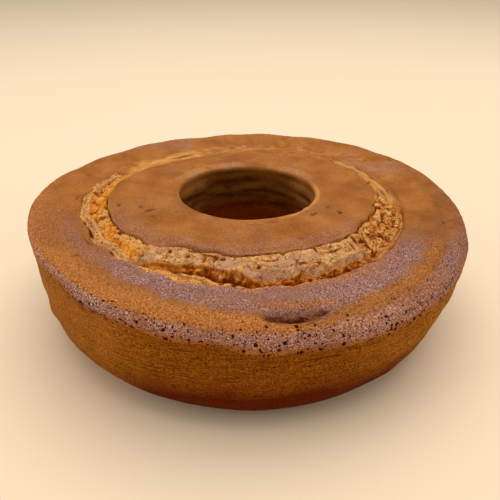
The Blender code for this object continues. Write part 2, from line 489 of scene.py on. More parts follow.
    def _crack_stations(self, bearing: np.ndarray) -> dict[Station, tuple]:
        """Gives the torn lip, the crevice, the two steps of crumb and the cap's edge.

        Args:
            bearing: bearings in radians.

        Returns:
            Radius and height of each station.
        """
        outer, inner = self.crack_edges(bearing)
        lip = self.lip_height(bearing)
        edge = self.cap_edge_height.at(bearing)
        gape = self.openness(bearing)
        healed = 1.0 - gape
        width = outer - inner
        rise = edge - lip
        crevice = self.crevice_depth * gape
        step_foot = edge - 0.4 * rise * healed - self.lower_step_drop * gape
        step_back = edge - 0.2 * rise * healed - 0.9 * gape
        return {
            Station.TORN_LIP: (outer, lip),
            Station.CREVICE: (outer - 0.15 * width, lip + 0.1 * rise - crevice),
            Station.LOWER_CRUMB: (outer - 0.30 * width, lip + 0.3 * rise - 0.4 * crevice),
            Station.STEP_FOOT: (outer - 0.42 * width, step_foot),
            Station.STEP_BACK: (outer - 0.72 * width, step_back),
            Station.CAP_NOTCH: (inner + 1.0, edge - self.upper_step_drop * gape),
            Station.CAP_EDGE: (inner - 0.8, edge),
        }

    def _inner_stations(self, bearing: np.ndarray) -> dict[Station, tuple]:
        """Gives the cap, the lip of the hole and its wall, down to the underside.

        Args:
            bearing: bearings in radians.

        Returns:
            Radius and height of each station.
        """
        inner = self.crack_inner.at(bearing)
        hole = self.hole_radius.at(bearing)
        crown = self.cap_edge_height.at(bearing) + self.cap_rise
        lip = self.hole_lip_radius
        foot = hole + self.hole_flare
        rounding = self.hole_base_rounding
        return {
            Station.CAP: (0.55 * inner + 0.45 * hole, crown),
            Station.CAP_INSIDE: (hole + 2.0 * lip, crown),
            Station.HOLE_SHOULDER: (hole + 0.9 * lip, crown - 0.3),
            Station.HOLE_LIP: (hole + CORNER * lip, crown - 0.35 * lip),
            Station.HOLE_TOP: (hole, crown - 1.3 * lip),
            Station.HOLE_MIDDLE: (hole + 0.4 * self.hole_flare, 0.55 * crown),
            Station.HOLE_FOOT: (foot, rounding),
            Station.HOLE_CORNER: (foot + CORNER * rounding, CORNER * rounding),
            Station.HOLE_EDGE: (foot + rounding, 0.0),
        }

    def _stations(self, bearing: np.ndarray) -> np.ndarray:
        """Gives every station's radius and height, as an array (stations, 2, bearings)."""
        chain = self._outer_stations(bearing) | self._crack_stations(bearing)
        chain |= self._inner_stations(bearing)
        return np.array([np.broadcast_arrays(*chain[station]) for station in Station])

    @cached_property
    def spans(self) -> np.ndarray:
        """Mean distance from each station to the next, of shape (stations, 1, 1)."""
        points = self._stations(np.linspace(0.0, FULL_TURN, 360, endpoint=False))
        apart = np.roll(points, -1, axis=0) - points
        return np.hypot(apart[:, 0], apart[:, 1]).mean(axis=1)[:, None, None]

    @cached_property
    def mileage(self) -> np.ndarray:
        """Mean distance along the profile from the first station to each."""
        return np.concatenate(([0.0], np.cumsum(self.spans[:, 0, 0])))

    def patch(self, place: np.ndarray, bearing: np.ndarray) -> Patch:
        """Works out the smooth surface on a grid of places by bearings.

        Between two stations runs a cubic with part t from 0 to 1:
        p0 (1-t)^2 (1+2t) + m0 t (1-t)^2 + p1 t^2 (3-2t) - m1 t^2 (1-t), where a slope m is the
        mean of the slopes to both neighbours in proportion to their distances.

        Args:
            place: places along the profile, one for each row, as station numbers with fractions;
                or one for each point, of shape (rows, bearings).
            bearing: bearings in radians, one for each column.

        Returns:
            The patch, with the profile's outward direction at each point.
        """
        points = self._stations(bearing)
        count = len(points)
        ahead = np.roll(points, -1, axis=0)
        span = self.spans
        slope_ahead = (ahead - points) / span
        slope_behind = np.roll(slope_ahead, 1, axis=0)
        span_behind = np.roll(span, 1, axis=0)
        slope = (slope_ahead * span_behind + slope_behind * span) / (span + span_behind)
        if place.ndim == 1:
            place = np.repeat(place[:, None], len(bearing), axis=1)
        start = np.floor(place).astype(int)
        part = (place - start)[:, None, :]
        start %= count
        column = np.arange(len(bearing))
        near, far = (
            [np.moveaxis(value[index, :, column], -1, 1) for value in (points, slope)]
            for index in (start, (start + 1) % count)
        )
        length = span[start, 0, 0][:, None, :]
        rest = 1.0 - part
        line = near[0] * rest**2 * (1.0 + 2.0 * part) + near[1] * length * part * rest**2
        line += far[0] * part**2 * (3.0 - 2.0 * part) - far[1] * length * part**2 * rest
        heading = (far[0] - near[0]) * 6.0 * part * rest + near[1] * length * rest * (1 - 3 * part)
        heading += far[1] * length * part * (3.0 * part - 2.0)
        heading /= np.maximum(np.hypot(heading[:, 0], heading[:, 1]), 1e-6)[:, None, :]
        return Patch(
            place=place,
            bearing=np.broadcast_to(bearing, place.shape),
            along=self.mileage[start] + part[:, 0] * length[:, 0],
            radius=line[:, 0],
            height=np.maximum(line[:, 1], 0.0),
            out=heading[:, 1],
            up=-heading[:, 0],
        )

    def crumb_cover(self, patch: Patch) -> np.ndarray:
        """Gives 1 on the open crumb in the crack and 0 on the crust, with a soft edge between."""
        outer, inner = self.crack_edges(patch.bearing[0])
        cover = band(patch.radius, inner, outer - 1.0, 2.4)
        return cover * self.openness(patch.bearing) * smooth_step((patch.height - 54.0) / 6.0)

    def dimple(self, patch: Patch) -> np.ndarray:
        """Gives the depth of the long dent in the outer ring, a bell along and across.

        Args:
            patch: the smooth surface.

        Returns:
            The depth at each point.
        """
        aside = np.radians(turn_from(patch.bearing, self.dimple_bearing)) * self.dimple_radius
        across = patch.radius - self.dimple_radius
        across = np.where(across > 0.0, 1.6 * across, 0.85 * across)
        bell = np.exp(-((aside / self.dimple_length) ** 2) - (across / self.dimple_width) ** 2)
        return self.dimple_depth * bell * smooth_step((patch.height - TOP_HEIGHT) / 4.0)

    def skin_relief(self, patch: Patch) -> np.ndarray:
        """Gives how far the crust, the side and the hole's wall are pushed out, as in the solid.

        Args:
            patch: the smooth surface.

        Returns:
            The push at each point.
        """
        bearing, along, radius, height = patch.bearing, patch.along, patch.radius, patch.height
        outside = smooth_step((radius - 104.0) / 6.0)
        crust = smooth_step((height - 58.0) / 6.0) * smooth_step((radius - 44.0) / 6.0)
        crust *= 1.0 - self.crumb_cover(patch)
        shoulder = outside * smooth_step((height - 44.0) / 6.0)
        side = outside * band(height, 12.0, 40.0, 6.0)
        hole = (1.0 - smooth_step((radius - 44.0) / 6.0)) * band(height, 34.0, 60.0, 6.0)
        sway = 1.1 * np.sin(3.0 * bearing + 0.6) + 0.7 * np.sin(7.0 * bearing + 2.0)
        pushed = self.crust_relief * crust * rough_field(bearing, along, (2, 14), (18.0, 60.0), 5)
        pushed += self.rim_relief * shoulder * rough_field(bearing, along, (5, 22), (14.0, 40.0), 7)
        pushed += self.side_relief * side * rough_field(bearing, along, (4, 24), (8.0, 24.0), 11)
        waves = np.sin(FULL_TURN * height / self.hole_ridge_spacing + sway)
        pushed += self.hole_ridges * hole * waves
        return pushed - self.dimple(patch)


@dataclass(frozen=True)
class Blemish:
    """A small tear, pit or fold in the crust or crumb: a bell-shaped dent, darkened by painted
    shade, with a pale tone of its own where one is given.

    Where its depth is below 0 it is a bump.
    """

    bearing: float
    radius: float
    round_ring: float
    across: float
    depth: float
    shade_and_stain: float
    pale: float = 0.0

    def bell(self, patch: Patch) -> np.ndarray:
        """Gives 1 at the blemish's middle, falling off as a bell round the ring and across it."""
        aside = np.radians(turn_from(patch.bearing, self.bearing)) * self.radius
        away = patch.radius - self.radius
        return np.exp(-((aside / self.round_ring) ** 2) - (away / self.across) ** 2)


# For each blemish: bearing, radius, length round the ring, width across, depth, painted shade
# in the dent, pale tone.
BLEMISHES = tuple(
    Blemish(*sizes)
    for sizes in (
        (328.0, 55.8, 1.3, 1.1, 0.7, 0.9), (14.0, 75.0, 1.6, 0.9, 0.5, 0.7, 0.3),
        (37.0, 98.0, 1.2, 1.0, 0.4, 0.6), (208.5, 60.2, 1.0, 2.6, 0.5, 0.7),
        (214.5, 61.0, 2.4, 0.7, 0.4, 0.6), (203.0, 64.0, 1.3, 0.9, 0.4, 0.6),
        (98.4, 85.0, 1.6, 0.8, 0.4, 0.8), (96.0, 84.2, 2.0, 1.0, -0.3, 0.0, 0.9),
        (127.0, 77.5, 6.5, 2.2, 0.3, 0.75), (118.0, 86.0, 2.2, 1.2, -0.3, 0.0, 0.9),
        (68.1, 65.5, 1.2, 1.1, 0.4, 0.8), (316.0, 46.0, 3.0, 0.7, 0.5, 0.7),
        (330.0, 48.6, 2.4, 0.7, 0.5, 0.6), (300.0, 44.5, 3.2, 0.6, 0.5, 0.6),
        (285.0, 42.5, 2.6, 0.6, 0.4, 0.5), (222.0, 108.0, 1.2, 1.0, 0.4, 0.6),
        (282.9, 61.2, 1.3, 0.8, 0.3, 0.5), (292.5, 63.7, 1.6, 0.7, 0.3, 0.5),
        (197.0, 74.5, 1.8, 0.9, 0.4, 0.7), (345.0, 108.0, 1.6, 0.9, 0.3, 0.5),
        (30.0, 108.0, 1.8, 0.8, 0.3, 0.5), (165.0, 104.0, 2.0, 0.9, 0.3, 0.4),
    )
)
CRUMB_TEARS = tuple(
    Blemish(*sizes)
    for sizes in (
        (254.0, 76.4, 0.5, 2.6, 0.4, 0.6), (255.5, 74.0, 4.6, 0.6, 0.5, 0.8),
        (257.6, 75.1, 1.1, 0.9, 0.8, 0.9), (260.5, 75.4, 1.1, 0.9, 0.8, 0.9),
        (248.2, 73.5, 2.2, 0.6, 0.4, 0.7), (294.9, 71.8, 0.6, 2.8, 0.4, 0.8),
        (300.3, 76.4, 3.4, 0.6, 0.5, 0.7), (296.0, 87.0, 1.1, 1.6, 1.2, 1.0),
        (282.0, 72.0, 0.8, 0.8, 0.5, 0.8), (272.6, 79.7, 1.0, 0.8, 0.6, 0.8),
        (269.2, 70.5, 0.6, 1.8, 0.5, 0.8), (276.5, 75.5, 3.0, 0.5, 0.4, 0.6),
        (240.8, 77.4, 0.9, 0.9, 0.6, 0.9), (248.3, 77.8, 0.9, 0.9, 0.6, 0.8),
        (264.5, 84.0, 1.2, 1.0, 0.6, 0.8), (287.5, 79.0, 2.4, 0.6, 0.4, 0.7),
        (210.0, 93.4, 5.0, 1.0, 1.5, 1.0), (203.5, 93.9, 2.6, 0.8, 1.0, 0.8),
        (185.5, 89.0, 1.8, 1.3, 1.0, 0.7), (178.4, 90.0, 2.0, 1.2, 1.0, 0.7),
        (209.8, 82.0, 1.0, 1.2, 0.9, 0.8), (217.2, 81.8, 1.2, 1.3, 0.9, 0.8),
        (194.5, 87.6, 0.9, 2.6, 0.9, 0.8), (202.0, 84.0, 1.0, 2.0, 0.7, 0.7),
        (312.9, 74.5, 0.9, 2.4, 0.8, 0.8), (316.2, 80.8, 0.9, 3.4, 1.1, 0.9),
        (312.8, 86.6, 3.0, 0.9, 1.1, 0.9), (306.8, 86.0, 2.6, 0.8, 0.9, 0.9),
        (318.0, 74.0, 1.1, 2.6, 0.9, 0.9), (309.5, 77.5, 0.7, 2.2, 0.6, 0.6),
        (246.7, 87.2, 3.0, 0.7, 0.7, 0.95), (252.8, 88.4, 2.2, 0.8, 0.7, 0.95),
        (261.6, 88.0, 1.3, 0.9, 0.7, 0.95), (265.2, 88.2, 1.3, 1.1, 0.8, 0.95),
        (268.0, 90.4, 1.5, 1.0, 0.8, 0.95), (271.0, 94.0, 2.0, 0.9, 0.7, 0.95),
        (275.2, 95.6, 1.6, 0.8, 0.6, 0.9), (286.7, 90.4, 2.0, 0.8, 0.6, 0.9),
        (295.3, 87.6, 2.4, 0.7, 0.6, 0.9),
    )
)


# ---------------------------------------------------------------- meshes and nodes


def ring_mesh(
    name: str, points: np.ndarray, marks: dict[str, np.ndarray], finish: bpy.types.Material
) -> bpy.types.Object:
    """Makes a closed skin from a grid of points that wraps round both ways.

    Corner (row, column) joins its neighbours in the order (row, column), (row, column + 1),
    (row + 1, column + 1), (row + 1, column), which faces outwards.

    Args:
        name: the piece's name.
        points: corners in millimetres, of shape (rows, columns, 3).
        marks: a number from 0 to 1 at each corner for each name, which the finish reads.
        finish: the piece's material.

    Returns:
        The piece, with its place in its mesh.
    """
    rows, columns = points.shape[:2]
    row, column = np.meshgrid(np.arange(rows), np.arange(columns), indexing="ij")
    below, beside = (row + 1) % rows, (column + 1) % columns
    loop = (row * columns + column, row * columns + beside)
    loop += (below * columns + beside, below * columns + column)
    faces = np.stack(loop, axis=-1).reshape(-1, 4)
    centred = points.reshape(-1, 3) - np.array((*BOX_CENTRE, 0.0))
    return solid_mesh(name, centred, faces, marks, finish)


def solid_mesh(
    name: str,
    corners: np.ndarray,
    faces: np.ndarray,
    marks: dict[str, np.ndarray],
    finish: bpy.types.Material,
) -> bpy.types.Object:
    """Makes a smooth-shaded mesh object from corners in millimetres and equal-sided faces.

    Args:
        name: the piece's name.
        corners: points in millimetres, of shape (corners, 3).
        faces: the corners' numbers, of shape (faces, sides).
        marks: a number from 0 to 1 at each corner for each name.
        finish: the piece's material.

    Returns:
        The piece, with its place in its mesh.
    """
    sides = faces.shape[1]
    mesh = bpy.data.meshes.new(name)
    mesh.vertices.add(len(corners))
    mesh.vertices.foreach_set("co", (corners * MM).astype(np.float32).ravel())
    mesh.loops.add(faces.size)
    mesh.loops.foreach_set("vertex_index", faces.astype(np.int32).ravel())
    mesh.polygons.add(len(faces))
    mesh.polygons.foreach_set("loop_start", np.arange(0, faces.size, sides, dtype=np.int32))
    mesh.update(calc_edges=True)
    mesh.validate()
    mesh.shade_smooth()
    for mark, value in marks.items():
        layer = mesh.attributes.new(mark, "FLOAT", "POINT")
        layer.data.foreach_set("value", np.clip(value, 0.0, 1.0).astype(np.float32).ravel())
    mesh.materials.append(finish)
    piece = bpy.data.objects.new(name, mesh)
    bpy.context.scene.collection.objects.link(piece)
    return piece


class Kind(Enum):
    """The nodes used here: Blender's type, the settings of all such nodes, the output they give."""

    PLACE = ("ShaderNodeTexCoord", {}, "Object")
    MARK = ("ShaderNodeAttribute", {}, "Fac")
    SQUEEZE = ("ShaderNodeMapping", {}, 0)
    NOISE = ("ShaderNodeTexNoise", {}, 0)
    CELLS = ("ShaderNodeTexVoronoi", {}, "Distance")
    BORDERS = ("ShaderNodeTexVoronoi", {"feature": "DISTANCE_TO_EDGE"}, "Distance")
    CHANCE = ("ShaderNodeSeparateColor", {}, 0)
    RAMP = ("ShaderNodeMapRange", {}, 0)
    EASE = ("ShaderNodeMapRange", {"interpolation_type": "SMOOTHSTEP"}, 0)
    COVER = ("ShaderNodeMix", {"data_type": "RGBA"}, 2)
    DARKEN = ("ShaderNodeMix", {"data_type": "RGBA", "blend_type": "MULTIPLY"}, 2)
    TIMES = ("ShaderNodeMath", {"operation": "MULTIPLY"}, 0)
    TIMES_TO_ONE = ("ShaderNodeMath", {"operation": "MULTIPLY", "use_clamp": True}, 0)
    TIMES_PLUS = ("ShaderNodeMath", {"operation": "MULTIPLY_ADD"}, 0)
    LESS = ("ShaderNodeMath", {"operation": "SUBTRACT"}, 0)
    LARGER = ("ShaderNodeMath", {"operation": "MAXIMUM"}, 0)
    NEAR = ("ShaderNodeMath", {"operation": "COMPARE"}, 0)
    BEND = ("ShaderNodeVectorMath", {"operation": "MULTIPLY_ADD"}, 0)
    RAISE = ("ShaderNodeBump", {}, 0)
    SINK = ("ShaderNodeBump", {"invert": True}, 0)


def add_node(
    tree: bpy.types.NodeTree, kind: Kind, inputs: dict[str | int, object], **settings: object
) -> bpy.types.NodeSocket:
    """Adds one node with its settings, and fills or links its inputs.

    Args:
        tree: the tree that the node joins.
        kind: the kind of node.
        inputs: for each input, by name or number, a value or another node's output.
        settings: further properties of the node.

    Returns:
        The new node's output.
    """
    type_name, shared, output = kind.value
    node = tree.nodes.new(type_name)
    for name, value in {**shared, **settings}.items():
        setattr(node, name, value)
    for name, value in inputs.items():
        if isinstance(value, bpy.types.NodeSocket):
            tree.links.new(value, node.inputs[name])
        else:
            node.inputs[name].default_value = value
    return node.outputs[output]


def per(size: float) -> float:
    """Gives the texture scale at which one cell is the given size in millimetres."""
    return 1.0 / (size * MM)


def start_finish(
    name: str, marks: tuple[str, ...] = ()
) -> tuple[bpy.types.Material, partial, bpy.types.NodeSocket, dict[str, bpy.types.NodeSocket]]:
    """Starts a material.

    Args:
        name: the material's name.
        marks: the numbers at the piece's corners that the finish reads.

    Returns:
        The material, its own add_node, the place on the piece, and each mark by its name.
    """
    material = bpy.data.materials.new(name)
    material.use_nodes = True
    add = partial(add_node, material.node_tree)
    mark = {name: add(Kind.MARK, {}, attribute_name=name) for name in marks}
    return material, add, add(Kind.PLACE, {}), mark


def end_finish(
    material: bpy.types.Material,
    colour: bpy.types.NodeSocket,
    relief: bpy.types.NodeSocket | None,
    roughness: float,
    gloss: float,
) -> bpy.types.Material:
    """Joins colour and relief to the material's shader, and sets its roughness and gloss.

    Args:
        material: the material that start_finish made.
        colour: its colour.
        relief: its bent normals, if it has any.
        roughness: its roughness.
        gloss: its specular level.

    Returns:
        The finished material.
    """
    tree = material.node_tree
    shader = tree.nodes["Principled BSDF"]
    tree.links.new(colour, shader.inputs["Base Color"])
    if relief is not None:
        tree.links.new(relief, shader.inputs["Normal"])
    shader.inputs["Roughness"].default_value = roughness
    shader.inputs["Specular IOR Level"].default_value = gloss
    return material


# ---------------------------------------------------------------- finishes


CRUST_MARKS = (
    *("side", "low", "hole", "depth", "mauve_and_sheen", "ember", "pores", "pits", "shade_and_stain", "pale"),
    *("rough", "slope_shade"),
)
CRUMB_MARKS = ("skin", "gold", "straw", "dusty", "hollow", "healed", "crazed")
Tint = tuple[float, float, float, float]


@dataclass(frozen=True)
class BrownedCrust:
    """Baked crust of a corn cake: matt brown sugar-browned skin, as fine-grained as suede.

    A dull mauve tone with a painted sheen on it lies on its hollows and shoulder, small gas
    holes stand open as pinholes painted dark for the shade in them, and the side that lay against
    the tin is smoother, deeper and redder, with painted shade darkening it towards the base and
    the front.
    """

    dark_brown: str = "#965A2A"
    light_brown: str = "#AE7038"
    ember: str = "#AC6E3A"
    # The lilac grains below are a painted sheen; the base under them is the crust's dull mauve
    # tone.
    mauve_and_sheen: str = "#B89490"
    mauve_and_sheen_base: str = "#86594A"
    # Pale gold of the healed crust and crumbly rim, also painted as highlight on ridge crests, the
    # hole's lip and glints.
    pale: str = "#DCA058"
    # The side runs from side_high to side_low: redder, and darker with painted shade towards the
    # base and the front.
    side_high: str = "#A46616"
    side_low: str = "#5E1E00"
    # Painted shade in the side's creases.
    side_crease_shade: str = "#4A1A00"
    hole_high: str = "#6E4212"
    hole_low: str = "#7C3204"
    # Painted shade in folds, dents, ridge troughs and under lips, and dark streaks down the hole.
    shade_and_stain: str = "#4A1C08"
    # Painted shade inside the gas holes.
    pit: str = "#400E00"
    grain_dark: Tint = (0.7, 0.64, 0.56, 1.0)
    grain_light: Tint = (1.3, 1.32, 1.34, 1.0)
    fleck_dark: Tint = (0.34, 0.22, 0.06, 1.0)
    fleck_light: Tint = (1.75, 1.8, 1.85, 1.0)
    # Painted shade on the ring's slope.
    slope_shade: Tint = (0.6, 0.62, 0.77, 1.0)
    # Sizes of the patterns in millimetres. The skin's real grain, about a third of a millimetre,
    # is too fine to show, so grain and flecks are drawn twice as coarse.
    patches: float = 16.0
    mottle: float = 4.5
    grain: float = 0.6
    fleck: float = 0.85
    creases: float = 15.0
    pores: float = 1.5
    pits: float = 2.4
    hole_bend: float = 1.7
    hole_bend_size: float = 1.6
    hole_reach: float = 0.46
    grain_height: float = 0.12
    hole_depth: float = 0.45
    roughness: float = 0.66
    gloss: float = 0.02

    def material(self) -> bpy.types.Material:
        """Builds the crust's node tree from its colours and sizes.

        Returns:
            The material.
        """
        material, add, place, mark = start_finish("browned cake crust", CRUST_MARKS)
        flat, level = (
            add(Kind.SQUEEZE, {0: place, "Scale": (1.0, 1.0, squeeze)}) for squeeze in (1.5, 14.0)
        )

        # Each noise, spread so that its usual run from low to high becomes 0 to 1.
        noise = {}
        for name, where, size, detail, low, high in (
            ("patches", place, self.patches, 4.0, 0.36, 0.64),
            ("mottle", place, self.mottle, 5.0, 0.3, 0.7),
            ("grain", place, self.grain, 3.0, 0.3, 0.7),
            ("fleck", flat, self.fleck, 4.0, 0.34, 0.66),
            ("creases", level, self.creases, 5.0, 0.0, 1.0),
        ):
            wave = {0: where, "Scale": per(size), "Detail": detail, "Roughness": 0.62}
            spread = {"Value": add(Kind.NOISE, wave), "From Min": low, "From Max": high}
            noise[name] = add(Kind.RAMP, spread)

        # The mauve tone and its painted sheen come as single grains where the fine noise is high.
        grains = add(Kind.EASE, {"Value": noise["grain"], "From Min": 0.25, "From Max": 0.9})
        pale, dull = (
            add(Kind.RAMP, {"Value": noise["mottle"], "To Min": least}) for least in (0.62, 0.55)
        )

        # The tin side: redder and darker towards the base and the front, its own colour with
        # painted shade, with fine level creases painted dark as shade where a noise squeezed in
        # height is high, and threads of the same painted shade along one of its contours.
        broad = {"Value": noise["creases"], "From Min": 0.5, "From Max": 0.62, "To Max": 0.62}
        thread = add(Kind.NEAR, {0: noise["creases"], 1: 0.46, 2: 0.014})
        side, hole, colour = (
            add(Kind.COVER, {0: share, 6: linear(first), 7: linear(second)})
            for share, first, second in (
                (mark["low"], self.side_high, self.side_low),
                (mark["depth"], self.hole_high, self.hole_low),
                (noise["patches"], self.dark_brown, self.light_brown),
            )
        )
        for share in (add(Kind.EASE, broad), add(Kind.TIMES, {0: thread, 1: 0.7})):
            side = add(Kind.COVER, {0: share, 6: side, 7: linear(self.side_crease_shade)})

        # Layers in turn: pale gold and painted highlights, the mauve tone and its painted sheen,
        # the tin side with its painted shade, the hole, warm crust, and painted shade.
        for share, shade in (
            (add(Kind.TIMES, {0: pale, 1: mark["pale"]}), linear(self.pale)),
            (add(Kind.TIMES, {0: dull, 1: mark["mauve_and_sheen"]}), linear(self.mauve_and_sheen_base)),
            (add(Kind.TIMES, {0: grains, 1: mark["mauve_and_sheen"]}), linear(self.mauve_and_sheen)),
            (mark["side"], side),
            (mark["hole"], hole),
            (mark["ember"], linear(self.ember)),
            (mark["shade_and_stain"], linear(self.shade_and_stain)),
        ):
            colour = add(Kind.COVER, {0: share, 6: colour, 7: shade})

        # Fine grain darkens towards deep orange-brown, and lightens evenly. Painted shade makes the
        # ring's slope a little darker and cooler than the cap.
        grain, fleck = (
            add(Kind.COVER, {0: noise[name], 6: dark, 7: light})
            for name, dark, light in (
                ("grain", self.grain_dark, self.grain_light),
                ("fleck", self.fleck_dark, self.fleck_light),
            )
        )
        for share, tint in ((1.0, grain), (mark["rough"], fleck), (mark["slope_shade"], self.slope_shade)):
            colour = add(Kind.DARKEN, {0: share, 6: colour, 7: tint})

        # Gas holes, painted dark for the shade inside them: round spots of scattered cells, each
        # cell open by its own chance and as wide as the mark outdoes that chance, drawn out of
        # round by noise.
        bend = add(Kind.NOISE, {0: place, "Scale": per(self.hole_bend_size), "Detail": 2.0})
        along = (self.hole_bend * MM,) * 3
        bent = add(Kind.BEND, {0: bend.node.outputs["Color"], 1: along, 2: place})
        holes = []
        for name, size in (("pores", self.pores), ("pits", self.pits)):
            away = add(Kind.CELLS, {0: bent, "Scale": per(size)})
            chance = add(Kind.CHANCE, {0: away.node.outputs["Color"]})
            spare = add(Kind.LESS, {0: mark[name], 1: chance})
            reach = add(Kind.TIMES_TO_ONE, {0: spare, 1: 1.7})
            room = add(Kind.TIMES_PLUS, {0: away, 1: -1.0 / self.hole_reach, 2: reach})
            holes.append(add(Kind.EASE, {"Value": room, "From Min": 0.0, "From Max": 0.2}))
        pit = add(Kind.LARGER, {0: holes[0], 1: holes[1]})
        colour = add(Kind.COVER, {0: pit, 6: colour, 7: linear(self.pit)})

        height = add(Kind.TIMES_PLUS, {0: noise["mottle"], 1: 1.6, 2: noise["grain"]})
        raised = add(Kind.RAISE, {"Height": height, "Distance": 0.5 * self.grain_height * MM})
        sunk = add(
            Kind.SINK, {"Height": pit, "Distance": self.hole_depth * MM, "Normal": raised}
        )
        return end_finish(material, colour, sunk, self.roughness, self.gloss)


@dataclass(frozen=True)
class OpenCrumbFinish:
    """Torn maize crumb: golden, moist and spongy, with painted shade in the hollows between its
    lumps.

    Where the batter dried before it tore, a thin tan skin still lies on it, crazed by fine dark
    cracks. Flakes and the crumb close under the cap are straw-coloured, and the same straw lies
    on raised lumps and rubble as a painted highlight.
    """

    crumb_dark: str = "#A2500E"
    crumb_light: str = "#CE843A"
    gold: str = "#E69A34"
    # Straw: the colour of flakes and edges, and a painted highlight on raised lumps and rubble.
    straw: str = "#DEA866"
    skin_dark: str = "#B07A44"
    skin_light: str = "#DCAE7C"
    dusty: str = "#B6886C"
    # Painted shade in hollows, pinholes, gaps and under the cap; the crazing's fine cracks take it
    # too.
    hollow: str = "#561A00"
    crust: str = "#B67840"
    # Tint that the painted shade passes through on its way to brown.
    glow: Tint = (0.66, 0.44, 0.18, 1.0)
    sponge_dark: Tint = (0.74, 0.66, 0.52, 1.0)
    sponge_light: Tint = (1.2, 1.22, 1.24, 1.0)
    # Sizes of the patterns in millimetres. The sponge's finest pores, of less than half a
    # millimetre, are too fine to show, so they are drawn about twice as coarse.
    lumps: float = 2.6
    sponge: float = 0.9
    crazing: float = 5.6
    crazing_bend: float = 3.0
    crazing_patches: float = 6.0
    sponge_depth: float = 0.16
    roughness: float = 0.7
    gloss: float = 0.02

    def material(self) -> bpy.types.Material:
        """Builds the crumb's node tree from its colours and sizes.

        Returns:
            The material.
        """
        material, add, place, mark = start_finish("open maize crumb", CRUMB_MARKS)
        lumps, grain = (
            add(Kind.NOISE, {0: place, "Scale": per(size), "Detail": 4.0})
            for size in (self.lumps, 0.5 * self.sponge)
        )
        share = add(Kind.EASE, {"Value": lumps, "From Min": 0.36, "From Max": 0.64})
        colour, skin = (
            add(Kind.COVER, {0: share, 6: linear(dark), 7: linear(light)})
            for dark, light in (
                (self.crumb_dark, self.crumb_light),
                (self.skin_dark, self.skin_light),
            )
        )

        # The skin is crazed along the borders of bent cells, here and there.
        along = (self.crazing_bend * MM,) * 3
        bent = add(Kind.BEND, {0: lumps.node.outputs["Color"], 1: along, 2: place})
        border = add(Kind.BORDERS, {0: bent, "Scale": per(self.crazing)})
        patches = add(Kind.NOISE, {0: place, "Scale": per(self.crazing_patches)})
        spread = {"Value": patches, "From Min": 0.42, "From Max": 0.7, "To Max": 0.07}
        gap = add(Kind.LESS, {0: add(Kind.RAMP, spread), 1: border})
        crack = add(Kind.RAMP, {"Value": gap, "From Max": 0.03})
        crazing = add(Kind.TIMES, {0: crack, 1: mark["crazed"]})

        # Painted shade in a hollow turns deep orange before it turns brown, because light comes
        # through the crumb.
        glow, deep = (
            add(Kind.RAMP, {"Value": mark["hollow"], "From Min": low, "From Max": high})
            for low, high in ((0.0, 0.5), (0.35, 1.0))
        )
        sponge = add(Kind.CELLS, {0: place, "Scale": per(self.sponge)})
        height = add(Kind.LESS, {0: grain, 1: sponge})
        tone = add(Kind.RAMP, {"Value": height, "From Min": -0.45, "From Max": 0.45})
        tint = add(Kind.COVER, {0: tone, 6: self.sponge_dark, 7: self.sponge_light})
        # Gold, straw with its painted highlight, skin, dust, crust and crazing, then painted shade
        # through orange to brown, then the sponge's tint.
        for kind, share, shade in (
            (Kind.COVER, mark["gold"], linear(self.gold)),
            (Kind.COVER, mark["straw"], linear(self.straw)),
            (Kind.COVER, mark["skin"], skin),
            (Kind.COVER, mark["dusty"], linear(self.dusty)),
            (Kind.COVER, mark["healed"], linear(self.crust)),
            (Kind.COVER, crazing, linear(self.hollow)),
            (Kind.DARKEN, glow, self.glow),
            (Kind.COVER, deep, linear(self.hollow)),
            (Kind.DARKEN, 1.0, tint),
        ):
            colour = add(kind, {0: share, 6: colour, 7: shade})
        relief = add(Kind.RAISE, {"Height": height, "Distance": self.sponge_depth * MM})
        return end_finish(material, colour, relief, self.roughness, self.gloss)


@dataclass(frozen=True)
class PaleFloorFinish:
    """Matt cream paint on a smooth sheet: even and soft, without any gloss."""

    cream: str = "#F8E4C6"
    shade: str = "#F4DEBE"
    drift: float = 400.0
    roughness: float = 0.8
    gloss: float = 0.1

    def material(self) -> bpy.types.Material:
        """Builds the floor's node tree: one cream, a little uneven over a large distance.

        Returns:
            The material.
        """
        material, add, place, _ = start_finish("matt cream paint")
        drift = add(Kind.NOISE, {0: place, "Scale": per(self.drift)})
        colour = add(Kind.COVER, {0: drift, 6: linear(self.cream), 7: linear(self.shade)})
        return end_finish(material, colour, None, self.roughness, self.gloss)


# ---------------------------------------------------------------- the cake's pieces


@dataclass(frozen=True)
class Surface:
    """A patch of the cake's form, with marks that its finish reads.

    Each mark is a number from 0 to 1 at each point, mostly the strongest of several areas.
    """

    form: CakeForm
    patch: Patch

    def near(self, centre: float, half: float, soft: float) -> np.ndarray:
        """Gives 1 within half degrees of a bearing, falling to 0 over the soft turn outside it."""
        return arc(self.patch.bearing, centre, half, soft)

    @cached_property
    def points(self) -> np.ndarray:
        """The smooth surface's points."""
        return self.patch.points(self.patch.radius, self.patch.height)


